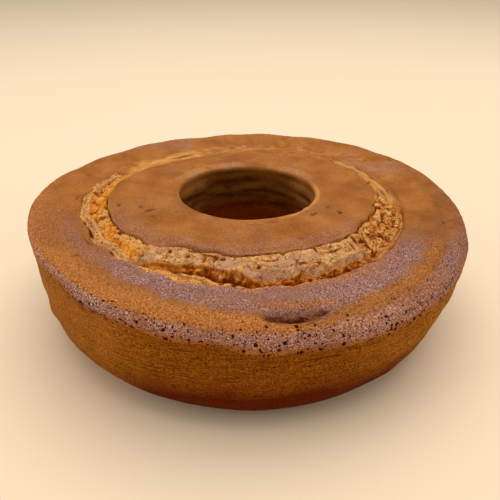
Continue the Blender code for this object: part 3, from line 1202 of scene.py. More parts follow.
@dataclass(frozen=True)
class Skin(Surface):
    """The crust's surface: noise that makes edges ragged, and the marks the crust finish reads.

    An area is a band of places by an arc of bearings.
    """

    def on(self, low: float, high: float, soft: float) -> np.ndarray:
        """Gives 1 on ragged places from low to high, falling to 0 over the soft distance."""
        return band(self.place, low, high, soft)

    def just_on(self, low: float, high: float, soft: float) -> np.ndarray:
        """Gives 1 on exact places from low to high, falling to 0 over the soft distance."""
        return band(self.patch.place, low, high, soft)

    def between(self, first: Station, last: Station) -> np.ndarray:
        """Tells whether each point lies between two stations."""
        return (self.patch.place > first) & (self.patch.place < last)

    @cached_property
    def broad(self) -> np.ndarray:
        """Broad clouds of noise."""
        return Noise(12).layered(self.points, 14, 3)

    @cached_property
    def fine(self) -> np.ndarray:
        """Fine clouds of noise."""
        return Noise(13).layered(self.points, 4, 3)

    @cached_property
    def place(self) -> np.ndarray:
        """The place on the profile, made ragged."""
        return self.patch.place + 0.4 * self.broad + 0.2 * self.fine

    @cached_property
    def edge(self) -> np.ndarray:
        """The place on the profile, made ragged more finely."""
        return self.patch.place + 0.12 * self.broad + 0.3 * self.fine

    @cached_property
    def outside(self) -> np.ndarray:
        """True outside the crack's middle: on the outer ring, the shoulder and the side."""
        return self.patch.place < Station.STEP_FOOT

    @cached_property
    def top(self) -> np.ndarray:
        """True on the top of the cake, and false on its side, underside and hole."""
        return self.patch.height > TOP_HEIGHT

    @cached_property
    def off_front(self) -> np.ndarray:
        """The turn from the front, in degrees."""
        return np.abs(turn_from(self.patch.bearing, self.form.front_arc[0]))

    @cached_property
    def reach(self) -> np.ndarray:
        """The place where the valley's dust ends: furthest out at the front."""
        return 8.35 + 0.023 * self.off_front

    @cached_property
    def dent(self) -> np.ndarray:
        """The share of the long dent's depth."""
        return self.form.dimple(self.patch) / self.form.dimple_depth

    @cached_property
    def ridges(self) -> np.ndarray:
        """The low ridges that run round the ring where the crack has closed, -1 to 1."""
        sway = 1.2 * Noise(9).soft(self.points, 12)
        waves = np.sin(FULL_TURN * self.patch.radius / 4.4 + sway)
        return self.near(18, 24, 12) * self.just_on(12.2, 17, 0.7) * waves

    @cached_property
    def bed(self) -> np.ndarray:
        """1 where the skin lies sunk under the open crumb, and 0 elsewhere.

        Returns:
            The share at each point.
        """
        part = self.form.crack_part(self.patch)
        sunk = smooth_step((part - 0.03) / 0.05) * smooth_step((1.015 - part) / 0.03)
        sunk *= self.between(Station.RING_TOP, Station.CAP_INSIDE)
        return sunk * self.form.torn(self.patch.bearing)

    def crease(self, width: float) -> np.ndarray:
        """Gives the fold in the long dent: a bell about a line that bends in at its right end.

        Args:
            width: the fold's half width.

        Returns:
            The share of the fold's depth at each point.
        """
        turn = turn_from(self.patch.bearing, 279.7)
        line = 113.6 - 0.42 * np.maximum(turn + 1.0, 0.0) - 0.2 * np.maximum(-turn, 0.0)
        line += 0.9 * Noise(10).layered(self.points, 4, 3)
        return np.exp(-(((self.patch.radius - line) / width) ** 2) - (turn / 7.4) ** 4)

    @cached_property
    def low(self) -> np.ndarray:
        """Mark: how near the base the side is, more so at the front: redder, and darker with
        painted shade.
        """
        low = smooth_step((36.0 - self.patch.height + 4.0 * self.broad) / 28.0)
        low *= 0.15 + 0.85 * self.near(279, 23, 32)
        return np.minimum(low + 0.45 * self.near(272, 10, 34), 1.0)

    @cached_property
    def side(self) -> np.ndarray:
        """Mark: the side and underside, which lay against the tin.

        Returns:
            The mark at each point.
        """
        side = (1.0 - smooth_step((self.edge - 4.1) / 0.6)) * self.outside
        side = np.maximum(side, smooth_step((self.patch.place - 26.4) / 0.6))
        paler = 0.15 * self.near(322, 20, 12) + 0.3 * self.near(222, 14, 12)
        return side * (1.0 - paler * self.just_on(2.5, 4.2, 0.6) * self.outside)

    @cached_property
    def hole(self) -> np.ndarray:
        """Mark: the hole's wall."""
        place = self.patch.place
        return smooth_step((place - Station.HOLE_LIP) / 0.4) * (place < Station.HOLE_EDGE)

    @cached_property
    def depth(self) -> np.ndarray:
        """Mark: how deep in the hole, less so at its two corners."""
        corners = 9.0 * (self.near(208, 16, 16) + self.near(332, 16, 16))
        return 1.0 - smooth_step((self.patch.height - 36.0 - corners + 5.0 * self.fine) / 16.0)

    @cached_property
    def far_lip(self) -> np.ndarray:
        """The far side of the hole's lip, in clouds."""
        clouds = smooth_step(0.7 + 2.0 * self.broad)
        return self.just_on(20.8, 21.8, 0.5) * self.near(90, 62, 20) * clouds

    @cached_property
    def crumbly(self) -> np.ndarray:
        """A crumbly rim of crust along the crack at the front left."""
        return self.near(252, 28, 10) * band(self.patch.place + 0.15 * self.fine, 12.1, 13.4, 0.2)

    @cached_property
    def mauve_and_sheen(self) -> np.ndarray:
        """Mark: mauve tone and painted sheen, in the valley, on the shoulder and thinly elsewhere.

        Returns:
            The mark at each point.
        """
        valley = smooth_step((self.place - self.reach) / 0.9)
        valley *= smooth_step((12.35 - self.patch.place) / 0.3) * self.near(279, 42, 20)
        western = self.near(226, 16, 14)
        raised = self.edge - 0.022 * np.maximum(self.off_front - 20.0, 0.0) + 0.5 * western
        shoulder = band(raised, 5.4, 6.8 + 0.8 * self.near(312, 20, 16) + 0.4 * self.fine, 0.6)
        cap_edge = band(self.patch.place + 0.1 * self.fine, 17.8, 18.35, 0.3)
        clouds = smooth_step(2.0 * Noise(14).layered(self.points, 22, 2))
        mauve_and_sheen = strongest(
            valley * (1.0 - 0.25 * self.near(272, 6, 14)),
            shoulder * (0.85 * self.near(281, 43, 32) + 0.3 * western),
            0.5 * self.on(9.8, 10.9, 0.6) * self.near(222, 14, 14),
            0.28 * cap_edge * self.near(262, 52, 20),
            0.3 * self.far_lip,
            (0.1 + 0.22 * self.near(75, 55, 20) * self.on(6.5, 11.5, 1)) * clouds,
        )
        return strongest(mauve_and_sheen * (0.9 + 0.4 * self.fine), 0.6 * smooth_step(1.6 * self.dent))

    @cached_property
    def ember(self) -> np.ndarray:
        """Mark: warm crust without the mauve tone and sheen, outside the valley, round the dent
        and by the hole.

        Returns:
            The mark at each point.
        """
        ring = smooth_step((self.place - 7) / 0.6)
        ring *= smooth_step((self.reach - self.place) / 0.6 + 1)
        ring *= 0.9 * self.near(232, 34, 20) + 0.5 * self.near(292, 22, 14)
        arch = np.exp(-(((self.patch.radius - 105.4) / 1.4) ** 2)) * self.near(281, 7, 3)
        groove = self.on(self.reach - 0.25, self.reach + 0.1, 0.25) * self.near(315, 16, 8)
        slope = 0.4 * self.on(11.5, 12, 0.3) * self.near(305, 19, 8)
        beside = self.near(175, 28, 20) + self.near(5, 28, 20)
        return strongest(
            ring * (0.85 + 0.5 * self.fine),
            0.3 * self.near(203, 16, 18) * self.on(7.5, 12, 1),
            strongest(arch, groove, slope) * self.outside * self.top,
            0.45 * beside * self.on(22.4, 23.6, 0.5),
        )

    @cached_property
    def pale(self) -> np.ndarray:
        """Mark: pale gold where the crack has healed behind, and painted highlight on the ridges'
        crests, on the hole's lip and in glints.

        Returns:
            The mark at each point.
        """
        fine = self.fine
        healed = 0.2 + 0.4 * smooth_step(2.4 * fine) + 0.7 * self.near(141, 20, 8)
        healed = np.minimum(healed, 1.0) * self.on(12.4, 16.8, 0.9) * (0.75 + 0.6 * fine)
        crests = self.near(18, 22, 14) * self.just_on(12.5, 16.9, 0.8)
        strewn = self.near(46, 26, 14) * self.on(11.6, 17.4, 1.2)
        glints = smooth_step(2.4 * Noise(16).layered(self.points * (0.5, 0.5, 3.0), 7, 3) - 0.2)
        return strongest(
            healed * self.near(84, 68, 8),
            crests * (0.4 + 0.5 * np.maximum(self.ridges, 0.0)),
            0.35 * strewn * smooth_step(0.35 + 1.4 * fine),
            0.6 * self.just_on(21.6, 22.2, 0.35) * self.near(335, 28, 18),
            0.5 * self.just_on(22, 22.4, 0.25) * self.near(262, 70, 20),
            0.35 * self.far_lip,
            self.crumbly * np.clip(0.7 + 0.9 * fine, 0.2, 1.0),
            0.26 * glints * self.hole * band(self.patch.height, 42, 62, 4),
            *(spot.pale * spot.bell(self.patch) * self.top for spot in BLEMISHES),
        )

    @cached_property
    def shade_and_stain(self) -> np.ndarray:
        """Mark: painted shade in the dent and its fold, under the lip, at the cap's edge, in the
        ridges' troughs, under the crumb and in the blemishes; and dark streaks down the hole.

        Returns:
            The mark at each point.
        """
        fine = self.fine
        fold = (0.85 + 0.4 * fine) * smooth_step(2.2 * self.crease(1.7) - 0.35)
        under = 0.5 * self.near(231, 10, 8) * smooth_step(0.3 + 2.4 * fine)
        under += 0.16 * self.near(285, 30, 20)
        cap_edge = band(self.form.crack_part(self.patch) + 0.012 * fine, 1.0, 1.01, 0.012)
        cap_edge *= self.near(290, 26, 6) * self.between(Station.STEP_FOOT, Station.CAP_INSIDE)
        streaks = Noise(15).layered(self.points * (0.4, 0.4, 4.6), 9, 4)
        streaks = smooth_step(0.3 + streaks / 0.4) * band(self.patch.height, 44, 60, 4)
        bells = ((spot.shade_and_stain, spot.bell(self.patch) * self.top) for spot in BLEMISHES)
        return strongest(
            fold * self.outside * self.top,
            0.4 * smooth_step(1.4 * self.dent),
            under * band(self.edge, 4.3, 5.1, 0.4) * self.outside,
            0.75 * cap_edge * smooth_step(0.7 + 1.6 * fine),
            0.855 * streaks * self.hole,
            0.6 * np.maximum(-self.ridges, 0.0),
            0.9 * smooth_step(2.0 * self.bed - 1.0),
            *(shade_and_stain * smooth_step(1.5 * bell) for shade_and_stain, bell in bells),
        )

    @cached_property
    def slope_shade(self) -> np.ndarray:
        """Mark: painted shade on the ring's slope, in front of the crack and at the right.

        Returns:
            The mark at each point.
        """
        start = 8.0 + 1.4 * self.near(244, 24, 12)
        slope_shade = strongest(
            0.46 * self.near(272, 72, 14) * self.on(start, 11.3, 0.8),
            0.55 * self.near(345, 20, 20) * self.on(6.6, 9.6, 0.8),
        )
        return (slope_shade + 0.12 * self.fine) * self.outside * self.top

    @cached_property
    def pits(self) -> np.ndarray:
        """Mark: how many of the larger gas holes stand open.

        Returns:
            The mark at each point.
        """
        clouds = smooth_step(2.4 * self.broad - 0.24)
        return strongest(
            self.on(4.5, 5.8, 0.7) * (0.4 + 0.36 * self.near(280, 35, 30)),
            0.5 * self.on(5.8, 8, 0.8) * self.near(302, 26, 20),
            0.3 * self.on(5.8, 7.2, 0.8) * self.near(262, 36, 20),
            0.75 * band(self.edge, 4, 5, 0.5) * self.near(230, 14, 10),
            0.16 * self.on(2.4, 4.4, 0.8),
            0.12 * clouds * (self.patch.place > Station.SHOULDER_HIGH),
        )

    @cached_property
    def pores(self) -> np.ndarray:
        """Mark: how many of the smaller gas holes stand open.

        Returns:
            The mark at each point.
        """
        return strongest(
            self.on(4.2, 7.2, 0.8) * (0.3 + 0.3 * self.near(280, 35, 30)),
            0.42 * self.on(5.4, 8.4, 0.8) * self.near(302, 26, 16),
            0.35 * self.on(1.5, 4.4, 1),
        )

    @cached_property
    def rough(self) -> np.ndarray:
        """Mark: how strongly the fine flecks show.

        Returns:
            The mark at each point.
        """
        return strongest(
            0.85 * self.on(4, 7.4, 0.8) * self.near(270, 95, 30),
            0.75 * self.on(6, 10, 1) * self.near(305, 25, 14),
            self.side * (1.0 - 0.2 * self.low),
            self.crumbly,
            0.8 * self.ember,
            0.9 * self.mauve_and_sheen,
            0.45 * self.hole,
            0.12,
        )


@dataclass(frozen=True)
class CakeBody:
    """The whole cake as one closed skin: side, shoulder, outer ring, cap, hole and underside."""

    form: CakeForm
    columns: int = 680
    # The number of rows from each station to the next.
    rows: tuple[int, ...] = (
        *(5, 7, 7, 5, 4, 4, 5, 5, 5, 6, 5, 9, 3, 2),
        *(2, 2, 2, 5, 18, 6, 4, 4, 4, 12, 7, 3, 2, 2),
    )
    cap_edge_crowding: float = 1.5
    crust_unevenness: float = 0.22
    shoulder_lumps: float = 0.3
    side_creases: float = 0.3
    bed_depth: float = 3.0
    lip_stand: float = 0.3
    cap_stand: float = 0.35
    wrinkle: float = 0.35
    wall_roughness: float = 1.1
    hole_corner: float = 1.0
    healed_ridge: float = 0.75
    healed_fill: float = 1.7
    edge_lift: float = 0.12
    fold_depth: float = 0.9

    def places(self) -> np.ndarray:
        """Gives the place of each row along the profile, crowded towards the cap's edge.

        Returns:
            The places, as station numbers with fractions.
        """
        crowding = {Station.CAP_EDGE: self.cap_edge_crowding}
        steps = [
            start + (np.arange(count) / count) ** crowding.get(start, 1.0)
            for start, count in enumerate(self.rows)
        ]
        return np.concatenate(steps)

    def _relief(self, skin: Skin) -> np.ndarray:
        """Gives how far each point is pushed out: the solid's relief, and finer unevenness.

        Args:
            skin: the skin's smooth surface and noise.

        Returns:
            The push at each point.
        """
        patch, points, form = skin.patch, skin.points, self.form
        top = smooth_step((patch.place - Station.RIM) / 1.5)
        top *= smooth_step(Station.HOLE_TOP - patch.place)
        torn = form.torn(patch.bearing)
        lumps = 0.5 - Noise(4).cells(points, 4)[0]
        level = Noise(5).layered(points * (1.0, 1.0, 7.0), 13, 3)
        folds = np.sin(1.7 * patch.radius + 3.0 * Noise(6).soft(points, 7))
        wall = Noise(7).layered(points * (1.0, 1.0, 2.6), 11, 4)
        closed = form.openness(patch.bearing) * (1.0 - torn)
        cap_edge = band(form.crack_part(patch), 1.01, 1.05, 0.06) * torn
        cap_edge *= skin.between(Station.CAP_NOTCH, Station.CAP_INSIDE)
        pushed = form.skin_relief(patch)
        pushed += self.crust_unevenness * top * Noise(3).layered(points, 9, 3)
        pushed += self.shoulder_lumps * skin.just_on(6, 9.5, 1.5) * lumps
        pushed += self.side_creases * skin.just_on(2, 5, 1) * level
        pushed += self.wrinkle * skin.near(305, 38, 14) * skin.just_on(20.2, 21.8, 0.8) * folds
        pushed += self.wall_roughness * skin.just_on(22.6, 24.6, 0.6) * wall
        pushed += self.hole_corner * skin.just_on(21.9, 22.3, 0.6)
        pushed += self.healed_ridge * skin.ridges
        pushed += self.healed_fill * closed * skin.just_on(12.7, 13.9, 0.6)
        pushed += self.edge_lift * cap_edge * (1.0 + Noise(8).soft(points, 4))
        pushed -= self.fold_depth * skin.crease(1.2) * skin.top
        for spot in BLEMISHES:
            pushed -= spot.depth * spot.bell(patch) * skin.top
        return pushed

    def build(self, finish: bpy.types.Material) -> bpy.types.Object:
        """Builds the skin, sunk a little under the open crumb so that the crumb can lie in it.

        Args:
            finish: the piece's material.

        Returns:
            The piece.
        """
        bearing = np.linspace(0.0, FULL_TURN, self.columns, endpoint=False)
        patch = self.form.patch(self.places(), bearing)
        skin = Skin(self.form, patch)
        pushed = self._relief(skin)
        part = self.form.crack_part(patch)
        lip = self.form.lip_height(patch.bearing) + self.lip_stand
        cap_edge = self.form.cap_edge_height.at(patch.bearing) + self.cap_stand
        lip_fill = smooth_step((0.04 - part) / 0.04) * np.maximum(lip - patch.height, 0.0)
        lip_fill *= (patch.place > 11.5) & skin.outside
        cap_fill = smooth_step((part - 1.0) / 0.015) * smooth_step((1.5 - part) / 0.2)
        cap_fill *= np.maximum(cap_edge - patch.height, 0.0)
        cap_fill *= skin.between(Station.STEP_FOOT, Station.CAP_INSIDE)
        filled = self.form.torn(patch.bearing) * (lip_fill + cap_fill)
        height = patch.height + pushed * patch.up + filled
        height = np.maximum(height - self.bed_depth * skin.bed, 0.0)
        points = patch.points(patch.radius + pushed * patch.out, height)
        marks = {name: getattr(skin, name) for name in CRUST_MARKS}
        return ring_mesh("cake_body", points, marks, finish)


@dataclass(frozen=True)
class CrumbTop(Surface):
    """The open crumb's upper surface: its level and relief, and the marks the crumb finish reads.

    To the level of each stretch of the crack are added lumps of two sizes, flakes that lean at
    random and overlap with dark gaps between, pits, and the single tears.
    """

    @cached_property
    def coarse(self) -> np.ndarray:
        """Coarse noise, which makes the levels uneven."""
        return Noise(21).layered(self.points, 8, 3)

    @cached_property
    def chips(self) -> np.ndarray:
        """Finer noise, which breaks up edges."""
        return Noise(27).layered(self.points, 3, 3)

    @cached_property
    def spots(self) -> np.ndarray:
        """Noise that breaks up the marks."""
        return Noise(26).layered(self.points, 5, 3)

    @cached_property
    def blotch(self) -> np.ndarray:
        """Noise that makes the dust patchy."""
        return Noise(28).layered(self.points, 7, 3)

    @cached_property
    def rubble(self) -> np.ndarray:
        """The finest noise, worked out at the crumb's own level so that steep walls have it too."""
        return Noise(32).layered(self.patch.points(self.patch.radius, self.level), 1.7, 3)

    @cached_property
    def part(self) -> np.ndarray:
        """The share of the way across the crack, made ragged.

        Returns:
            The share at each point.
        """
        part = self.form.crack_part(self.patch) + 0.04 * self.coarse + 0.035 * self.chips
        part += 0.06 * self.form.stretches(self.patch.bearing)[0] * self.coarse
        return part

    @cached_property
    def _levels(self) -> tuple[np.ndarray, dict[str, np.ndarray]]:
        """The crumb's height across the crack, before its lumps, in each stretch.

        On the left a pale ledge lies outside a hollow of crumb. At the front a shelf runs out
        level from the cap and breaks off over a dark crevice. On the right the crumb is a slope.

        Returns:
            The height, and shares from 0 to 1: of the "left", "front" and "right" stretches;
            "ledge" on the left's pale ledge and "bare" beside it; "shelf", "wall" and "lip" at
            the front, "gap" in the crevice, and "under" below the brink.
        """
        form, angle, part, coarse = self.form, self.patch.bearing, self.part, self.coarse
        left, front, right = form.stretches(angle)
        lip, edge = form.lip_height(angle), form.cap_edge_height.at(angle)

        wide = 0.3 + 0.12 * self.near(212, 9, 8) + 0.1 * coarse
        ledge = 1.0 - smooth_step((part - wide) / 0.1)
        hollow = lip - 1.2 + (edge - lip + 0.8) * smooth_step((part - 0.3) / 0.65)
        left_height = hollow + ledge * (lip + 0.5 - 8.0 * (part - 0.14) ** 2 - hollow)

        dip, east, west = self.near(277, 6, 6), self.near(302, 11, 9), self.near(238, 6, 7)
        brink = 0.37 - 0.2 * np.maximum(dip, east) - 0.26 * west
        fall = np.clip((1.0 - part) / (1.0 - brink), 0.0, 1.3) ** 1.5
        shelf_height = edge + 0.05 - (2.2 + 1.4 * dip + 2.7 * east) * fall + 0.7 * coarse
        gap = self.near(257, 10, 6) + 0.4 * self.near(297, 16, 6) + 0.3 * dip
        gap *= band(part, 0.52 * brink, 0.75 * brink, 0.05) * np.clip(1.0 + coarse, 0.4, 1.0)
        front_height = lip + 0.2 - 2.2 * gap
        front_height += (shelf_height - front_height) * smooth_step((part - brink) / 0.08)

        right_height = lip - 0.2 + (edge - lip) * smooth_step((part - 0.05) / 0.85)
        height = left * left_height + front * front_height + right * right_height
        height += (1.0 - left - front - right) * self.patch.height
        return height, {
            "left": left,
            "front": front,
            "right": right,
            "ledge": left * ledge,
            "bare": left * (1.0 - 0.95 * left * ledge),
            "shelf": front * smooth_step((part - brink - 0.05) / 0.05),
            "wall": front * band(part, 0.5 * brink, brink + 0.04, 0.05) * (1.0 - 0.5 * west),
            "gap": front * gap,
            "lip": front * (1.0 - smooth_step((part - 0.45 * brink) / 0.05)) * (1.0 - 0.1 * west),
            "under": smooth_step((brink - part) / (0.4 * brink)),
        }

    @cached_property
    def level(self) -> np.ndarray:
        """The crumb's height before its lumps."""
        return self._levels[0]

    @cached_property
    def on(self) -> dict[str, np.ndarray]:
        """The share of each stretch, and of each part of it."""
        return self._levels[1]

    @cached_property
    def _lumps(self) -> tuple[np.ndarray, np.ndarray, np.ndarray]:
        """The domed lumps of two sizes.

        Returns:
            The height of both, the height of the larger lumps' domes alone, and the pits.
        """
        lump, lump_next, owner, _ = Noise(22).cells(self.points + 1.6 * self.chips[..., None], 4.6)
        grain, grain_next, grain_owner, _ = Noise(23).cells(self.points, 2.1)
        dome = 0.4 - 1.4 * lump**2
        rounds = 1.9 * dome + 0.35 * (0.45 - 1.3 * grain**2) + 0.8 * (owner - 0.5)
        rounds -= 0.6 * smooth_step(1.0 - (lump_next - lump) / 0.18)
        rounds -= 0.2 * smooth_step(1.0 - (grain_next - grain) / 0.25)
        pits = smooth_step((0.36 - lump) / 0.12) * (owner > 0.88)
        pits += 0.7 * smooth_step((0.42 - grain) / 0.2) * (grain_owner > 0.88)
        return rounds, dome, pits

    @cached_property
    def _flakes(self) -> tuple[np.ndarray, np.ndarray, np.ndarray]:
        """The flakes, twice as long round the ring as across.

        Returns:
            Their height, the gaps between them, and a random number that belongs to each.
        """
        chips, patch = self.chips, self.patch
        sheet = (np.radians(turn_from(patch.bearing, 256)) * 42.0, patch.radius, 0.7 * patch.height)
        sheet = np.stack(sheet, axis=-1) + 1.8 * np.stack((chips, self.coarse, chips), axis=-1)
        flake, flake_next, owner, lean = Noise(29).cells(sheet, 3.9)
        rims = smooth_step(1.0 - (flake_next - flake) / 0.28)
        return 4.2 * lean + 1.5 * (owner - 0.45) - 0.5 * rims + 0.45 * chips, rims, owner

    @cached_property
    def tears(self) -> list[tuple[Blemish, np.ndarray]]:
        """Each single tear, and its bell."""
        return [(tear, tear.bell(self.patch)) for tear in CRUMB_TEARS]

    @cached_property
    def seam(self) -> np.ndarray:
        """The seams on the left, sunk and darkened with painted shade: under the outer lip, and
        between the ledge and the hollow.

        Returns:
            The share at each point.
        """
        between = band(self.on["ledge"], 0.3, 0.6, 0.2)
        return self.on["left"] * strongest(
            0.6 * band(self.part, 0.015, 0.035, 0.02) * self.near(214, 10, 8),
            0.55 * between * smooth_step(0.4 + 1.6 * self.chips),
        )

    @cached_property
    def detail(self) -> np.ndarray:
        """The lumps, flakes, pits and tears, as a height above the level.

        Returns:
            The height at each point.
        """
        on, chips, rubble = self.on, self.chips, self.rubble
        rounds, dome, pits = self._lumps
        detail = on["bare"] * (rounds - 1.2 * pits)
        detail += on["ledge"] * (0.5 * (self.coarse + chips + rubble) + 0.3 * rounds - 0.6 * pits)
        detail += on["right"] * self._flakes[0] * smooth_step((self.part - 0.04) / 0.22)
        detail += 0.5 * (on["wall"] + on["lip"]) * rubble + 0.45 * on["lip"] * chips
        detail += on["front"] * (0.25 * chips + 0.5 * dome - (0.6 - 0.2 * on["shelf"]) * pits)
        return detail - (0.8 * self.seam + sum(tear.depth * bell for tear, bell in self.tears))

    @cached_property
    def inside(self) -> np.ndarray:
        """1 inside the outer lip where the crack is torn, and 0 outside it."""
        return self.form.torn(self.patch.bearing) * smooth_step((self.part + 0.01) / 0.05)

    @cached_property
    def under_cap(self) -> np.ndarray:
        """1 where the crumb runs in under the cap's edge, and 0 elsewhere."""
        part = self.form.crack_part(self.patch)
        return smooth_step((part - 0.955 - 0.025 * self.chips) / 0.03)

    @cached_property
    def upper(self) -> np.ndarray:
        """1 on the shelf's upper strip, along the cap, and 0 elsewhere."""
        return smooth_step((self.part - 0.8 + 0.1 * self.spots) / 0.08)

    @cached_property
    def skin(self) -> np.ndarray:
        """Mark: thin tan skin, on the shelf and the ledge.

        Returns:
            The mark at each point.
        """
        return strongest(
            self.on["shelf"] * (1.0 - 0.7 * self.upper) * smooth_step(0.9 + 1.1 * self.spots),
            0.7 * self.on["ledge"] * smooth_step(0.6 + 1.2 * self.spots),
        )

    @cached_property
    def gold(self) -> np.ndarray:
        """Mark: golden crumb, in the left's hollow and on the front's wall."""
        golden = np.clip(0.8 + 0.6 * self.spots, 0.0, 1.0)
        return self.on["bare"] * golden + 0.35 * self.on["wall"]

    @cached_property
    def straw(self) -> np.ndarray:
        """Mark: straw-coloured crumb on flakes and edges, and straw as painted highlight on crests.

        Returns:
            The mark at each point.
        """
        on, chips, spots = self.on, self.chips, self.spots
        _, rims, owner = self._flakes
        by_cap = self.near(234, 12, 8) + 0.8 * self.near(200, 4, 4)
        return strongest(
            on["shelf"] * (0.5 + 0.5 * self.upper) * np.clip(0.8 + 0.8 * spots, 0.0, 1.0),
            on["right"] * np.clip(1.5 * owner - 0.35 * rims, 0.0, 1.0),
            on["lip"] * (0.6 + 0.4 * smooth_step(0.5 + 1.6 * chips)),
            0.75 * on["left"] * by_cap * smooth_step((self.part - 0.6) / 0.14),
            on["ledge"] * np.clip(0.8 + 0.9 * chips, 0.3, 1.0),
            0.6 * on["wall"] * smooth_step(2.6 * self.rubble - 0.3),
            0.75 * on["bare"] * smooth_step((self._lumps[0] - 0.15) / 0.5),
        )

    @cached_property
    def dusty(self) -> np.ndarray:
        """Mark: dust, in blotches on the shelf and the ledge.

        Returns:
            The mark at each point.
        """
        blotch = self.blotch
        return strongest(
            0.7 * self.on["shelf"] * (1.0 - self.upper) * smooth_step(0.4 + 2.6 * blotch),
            0.6 * self.on["ledge"] * self.near(214, 8, 6) * smooth_step(0.4 + 2.0 * blotch),
        )

    @cached_property
    def hollow(self) -> np.ndarray:
        """Mark: painted shade, in hollows, pinholes and gaps, on steep walls and under the cap.

        Returns:
            The mark at each point.
        """
        on, rubble, part = self.on, self.rubble, self.part
        nearest, _, chance, _ = Noise(31).cells(self.points, 1.9)
        pinholes = smooth_step((0.34 - nearest) / 0.1) * (chance > 0.9)
        specks = smooth_step((0.36 - nearest) / 0.12) * (chance > 0.62) * self.near(211, 11, 8)
        shade = np.clip(0.45 + 0.35 * on["under"] - 1.1 * rubble + 0.4 * self.spots, 0.1, 0.95)
        brink = self.near(294, 18, 8) * smooth_step(1.0 - np.abs(on["under"] - 0.2) / 0.25)
        least_dark = 0.85 - 0.35 * on["left"] - 0.4 * on["lip"]
        hollow = strongest(
            smooth_step(-0.35 - self.detail) * least_dark,
            strongest(shade, 0.8 * brink) * on["wall"],
            0.95 * on["gap"] * np.clip(1.0 - rubble, 0.5, 1.0),
            0.8 * pinholes * on["shelf"] + 0.75 * specks * on["ledge"],
            smooth_step(-2.4 * rubble - 0.5) * (0.5 * on["lip"] + 0.6 * on["ledge"]),
            self.seam,
            0.42 * on["right"] * self._flakes[1],
            0.9 * self.under_cap,
            *(tear.shade_and_stain * smooth_step(1.6 * bell) for tear, bell in self.tears),
        )
        return np.clip(hollow, 0.0, 0.95) * self.form.torn(self.patch.bearing)

    @cached_property
    def healed(self) -> np.ndarray:
        """Mark: crust, where the crack has closed and at the foot of the right's slope.

        Returns:
            The mark at each point.
        """
        slope = 1.0 - smooth_step((self.part - 0.14 - 0.08 * self.chips) / 0.08)
        foot = strongest(
            self.on["right"] * slope,
            self.on["front"] * self.near(302, 12, 8) * (self.part < 0.1),
        )
        return strongest(1.0 - self.form.torn(self.patch.bearing), 0.7 * foot)

    @cached_property
    def crazed(self) -> np.ndarray:
        """Mark: how strongly the skin is crazed."""
        return 0.8 * self.on["shelf"]


@dataclass(frozen=True)
class OpenCrumb:
    """The open crumb in the crack: a closed band over the crack's two steps, bedded in the skin.

    It runs from one place on the profile to another, and its upper surface stands between a least
    and a most height over the smooth surface. Outside the torn crack it dives under the skin.
    """

    form: CakeForm
    columns: int = 1250
    rows: int = 74
    under_rows: int = 5
    start: float = 11.75
    end: float = 18.3
    thickness: float = 3.4
    least: float = -2.9
    most: float = 1.8
    outer_dive: float = 1.6

    def surface(self, length: np.ndarray, bearing: np.ndarray) -> tuple[np.ndarray, CrumbTop]:
        """Works out the crumb's upper surface.

        Args:
            length: 0 to 1 across the band from its outer to its inner edge, of shape
                (rows, bearings).
            bearing: bearings in radians.

        Returns:
            The points, and the surface that holds the marks.
        """
        miles, stations = self.form.mileage, np.arange(len(self.form.mileage))
        first, last = np.interp((self.start, self.end), stations, miles)
        place = np.interp(first + (last - first) * length, miles, stations)
        patch = self.form.patch(place, bearing)
        top = CrumbTop(self.form, patch)
        stand = top.level + top.detail - patch.height
        offset = top.inside * (stand + self.outer_dive) - self.outer_dive
        offset += top.under_cap * (self.least - offset)
        offset = np.clip(offset, self.least, self.most)
        return patch.points(patch.radius, patch.height + offset), top

    def build(self, finish: bpy.types.Material) -> bpy.types.Object:
        """Builds the band, closed below by a plain surface a little way under the upper one.

        Args:
            finish: the piece's material.

        Returns:
            The piece.
        """
        bearing = np.linspace(0.0, FULL_TURN, self.columns, endpoint=False)
        length = np.repeat(np.linspace(0.0, 1.0, self.rows)[:, None], self.columns, axis=1)
        upper, top = self.surface(length, bearing)
        below = np.linspace(0.97, 0.03, self.under_rows)
        under = self.form.patch(self.start + (self.end - self.start) * below, bearing)
        lower = under.points(under.radius, under.height - self.thickness)
        blank = np.zeros(lower.shape[:2])
        marks = {name: np.concatenate((getattr(top, name), blank)) for name in CRUMB_MARKS}
        return ring_mesh("open_crumb", np.concatenate((upper, lower)), marks, finish)


def turned(points: np.ndarray, first: int, second: int, angle: np.ndarray) -> np.ndarray:
    """Turns each row of points by an angle of its own, in the plane of two axes.

    Args:
        points: points of shape (rows, points, 3).
        first: the axis that turns towards the second.
        second: the plane's other axis.
        angle: the angle of each row in radians.

    Returns:
        The turned points.
    """
    result = points.copy()
    cosine, sine = np.cos(angle)[:, None], np.sin(angle)[:, None]
    result[..., first] = points[..., first] * cosine - points[..., second] * sine
    result[..., second] = points[..., first] * sine + points[..., second] * cosine
    return result


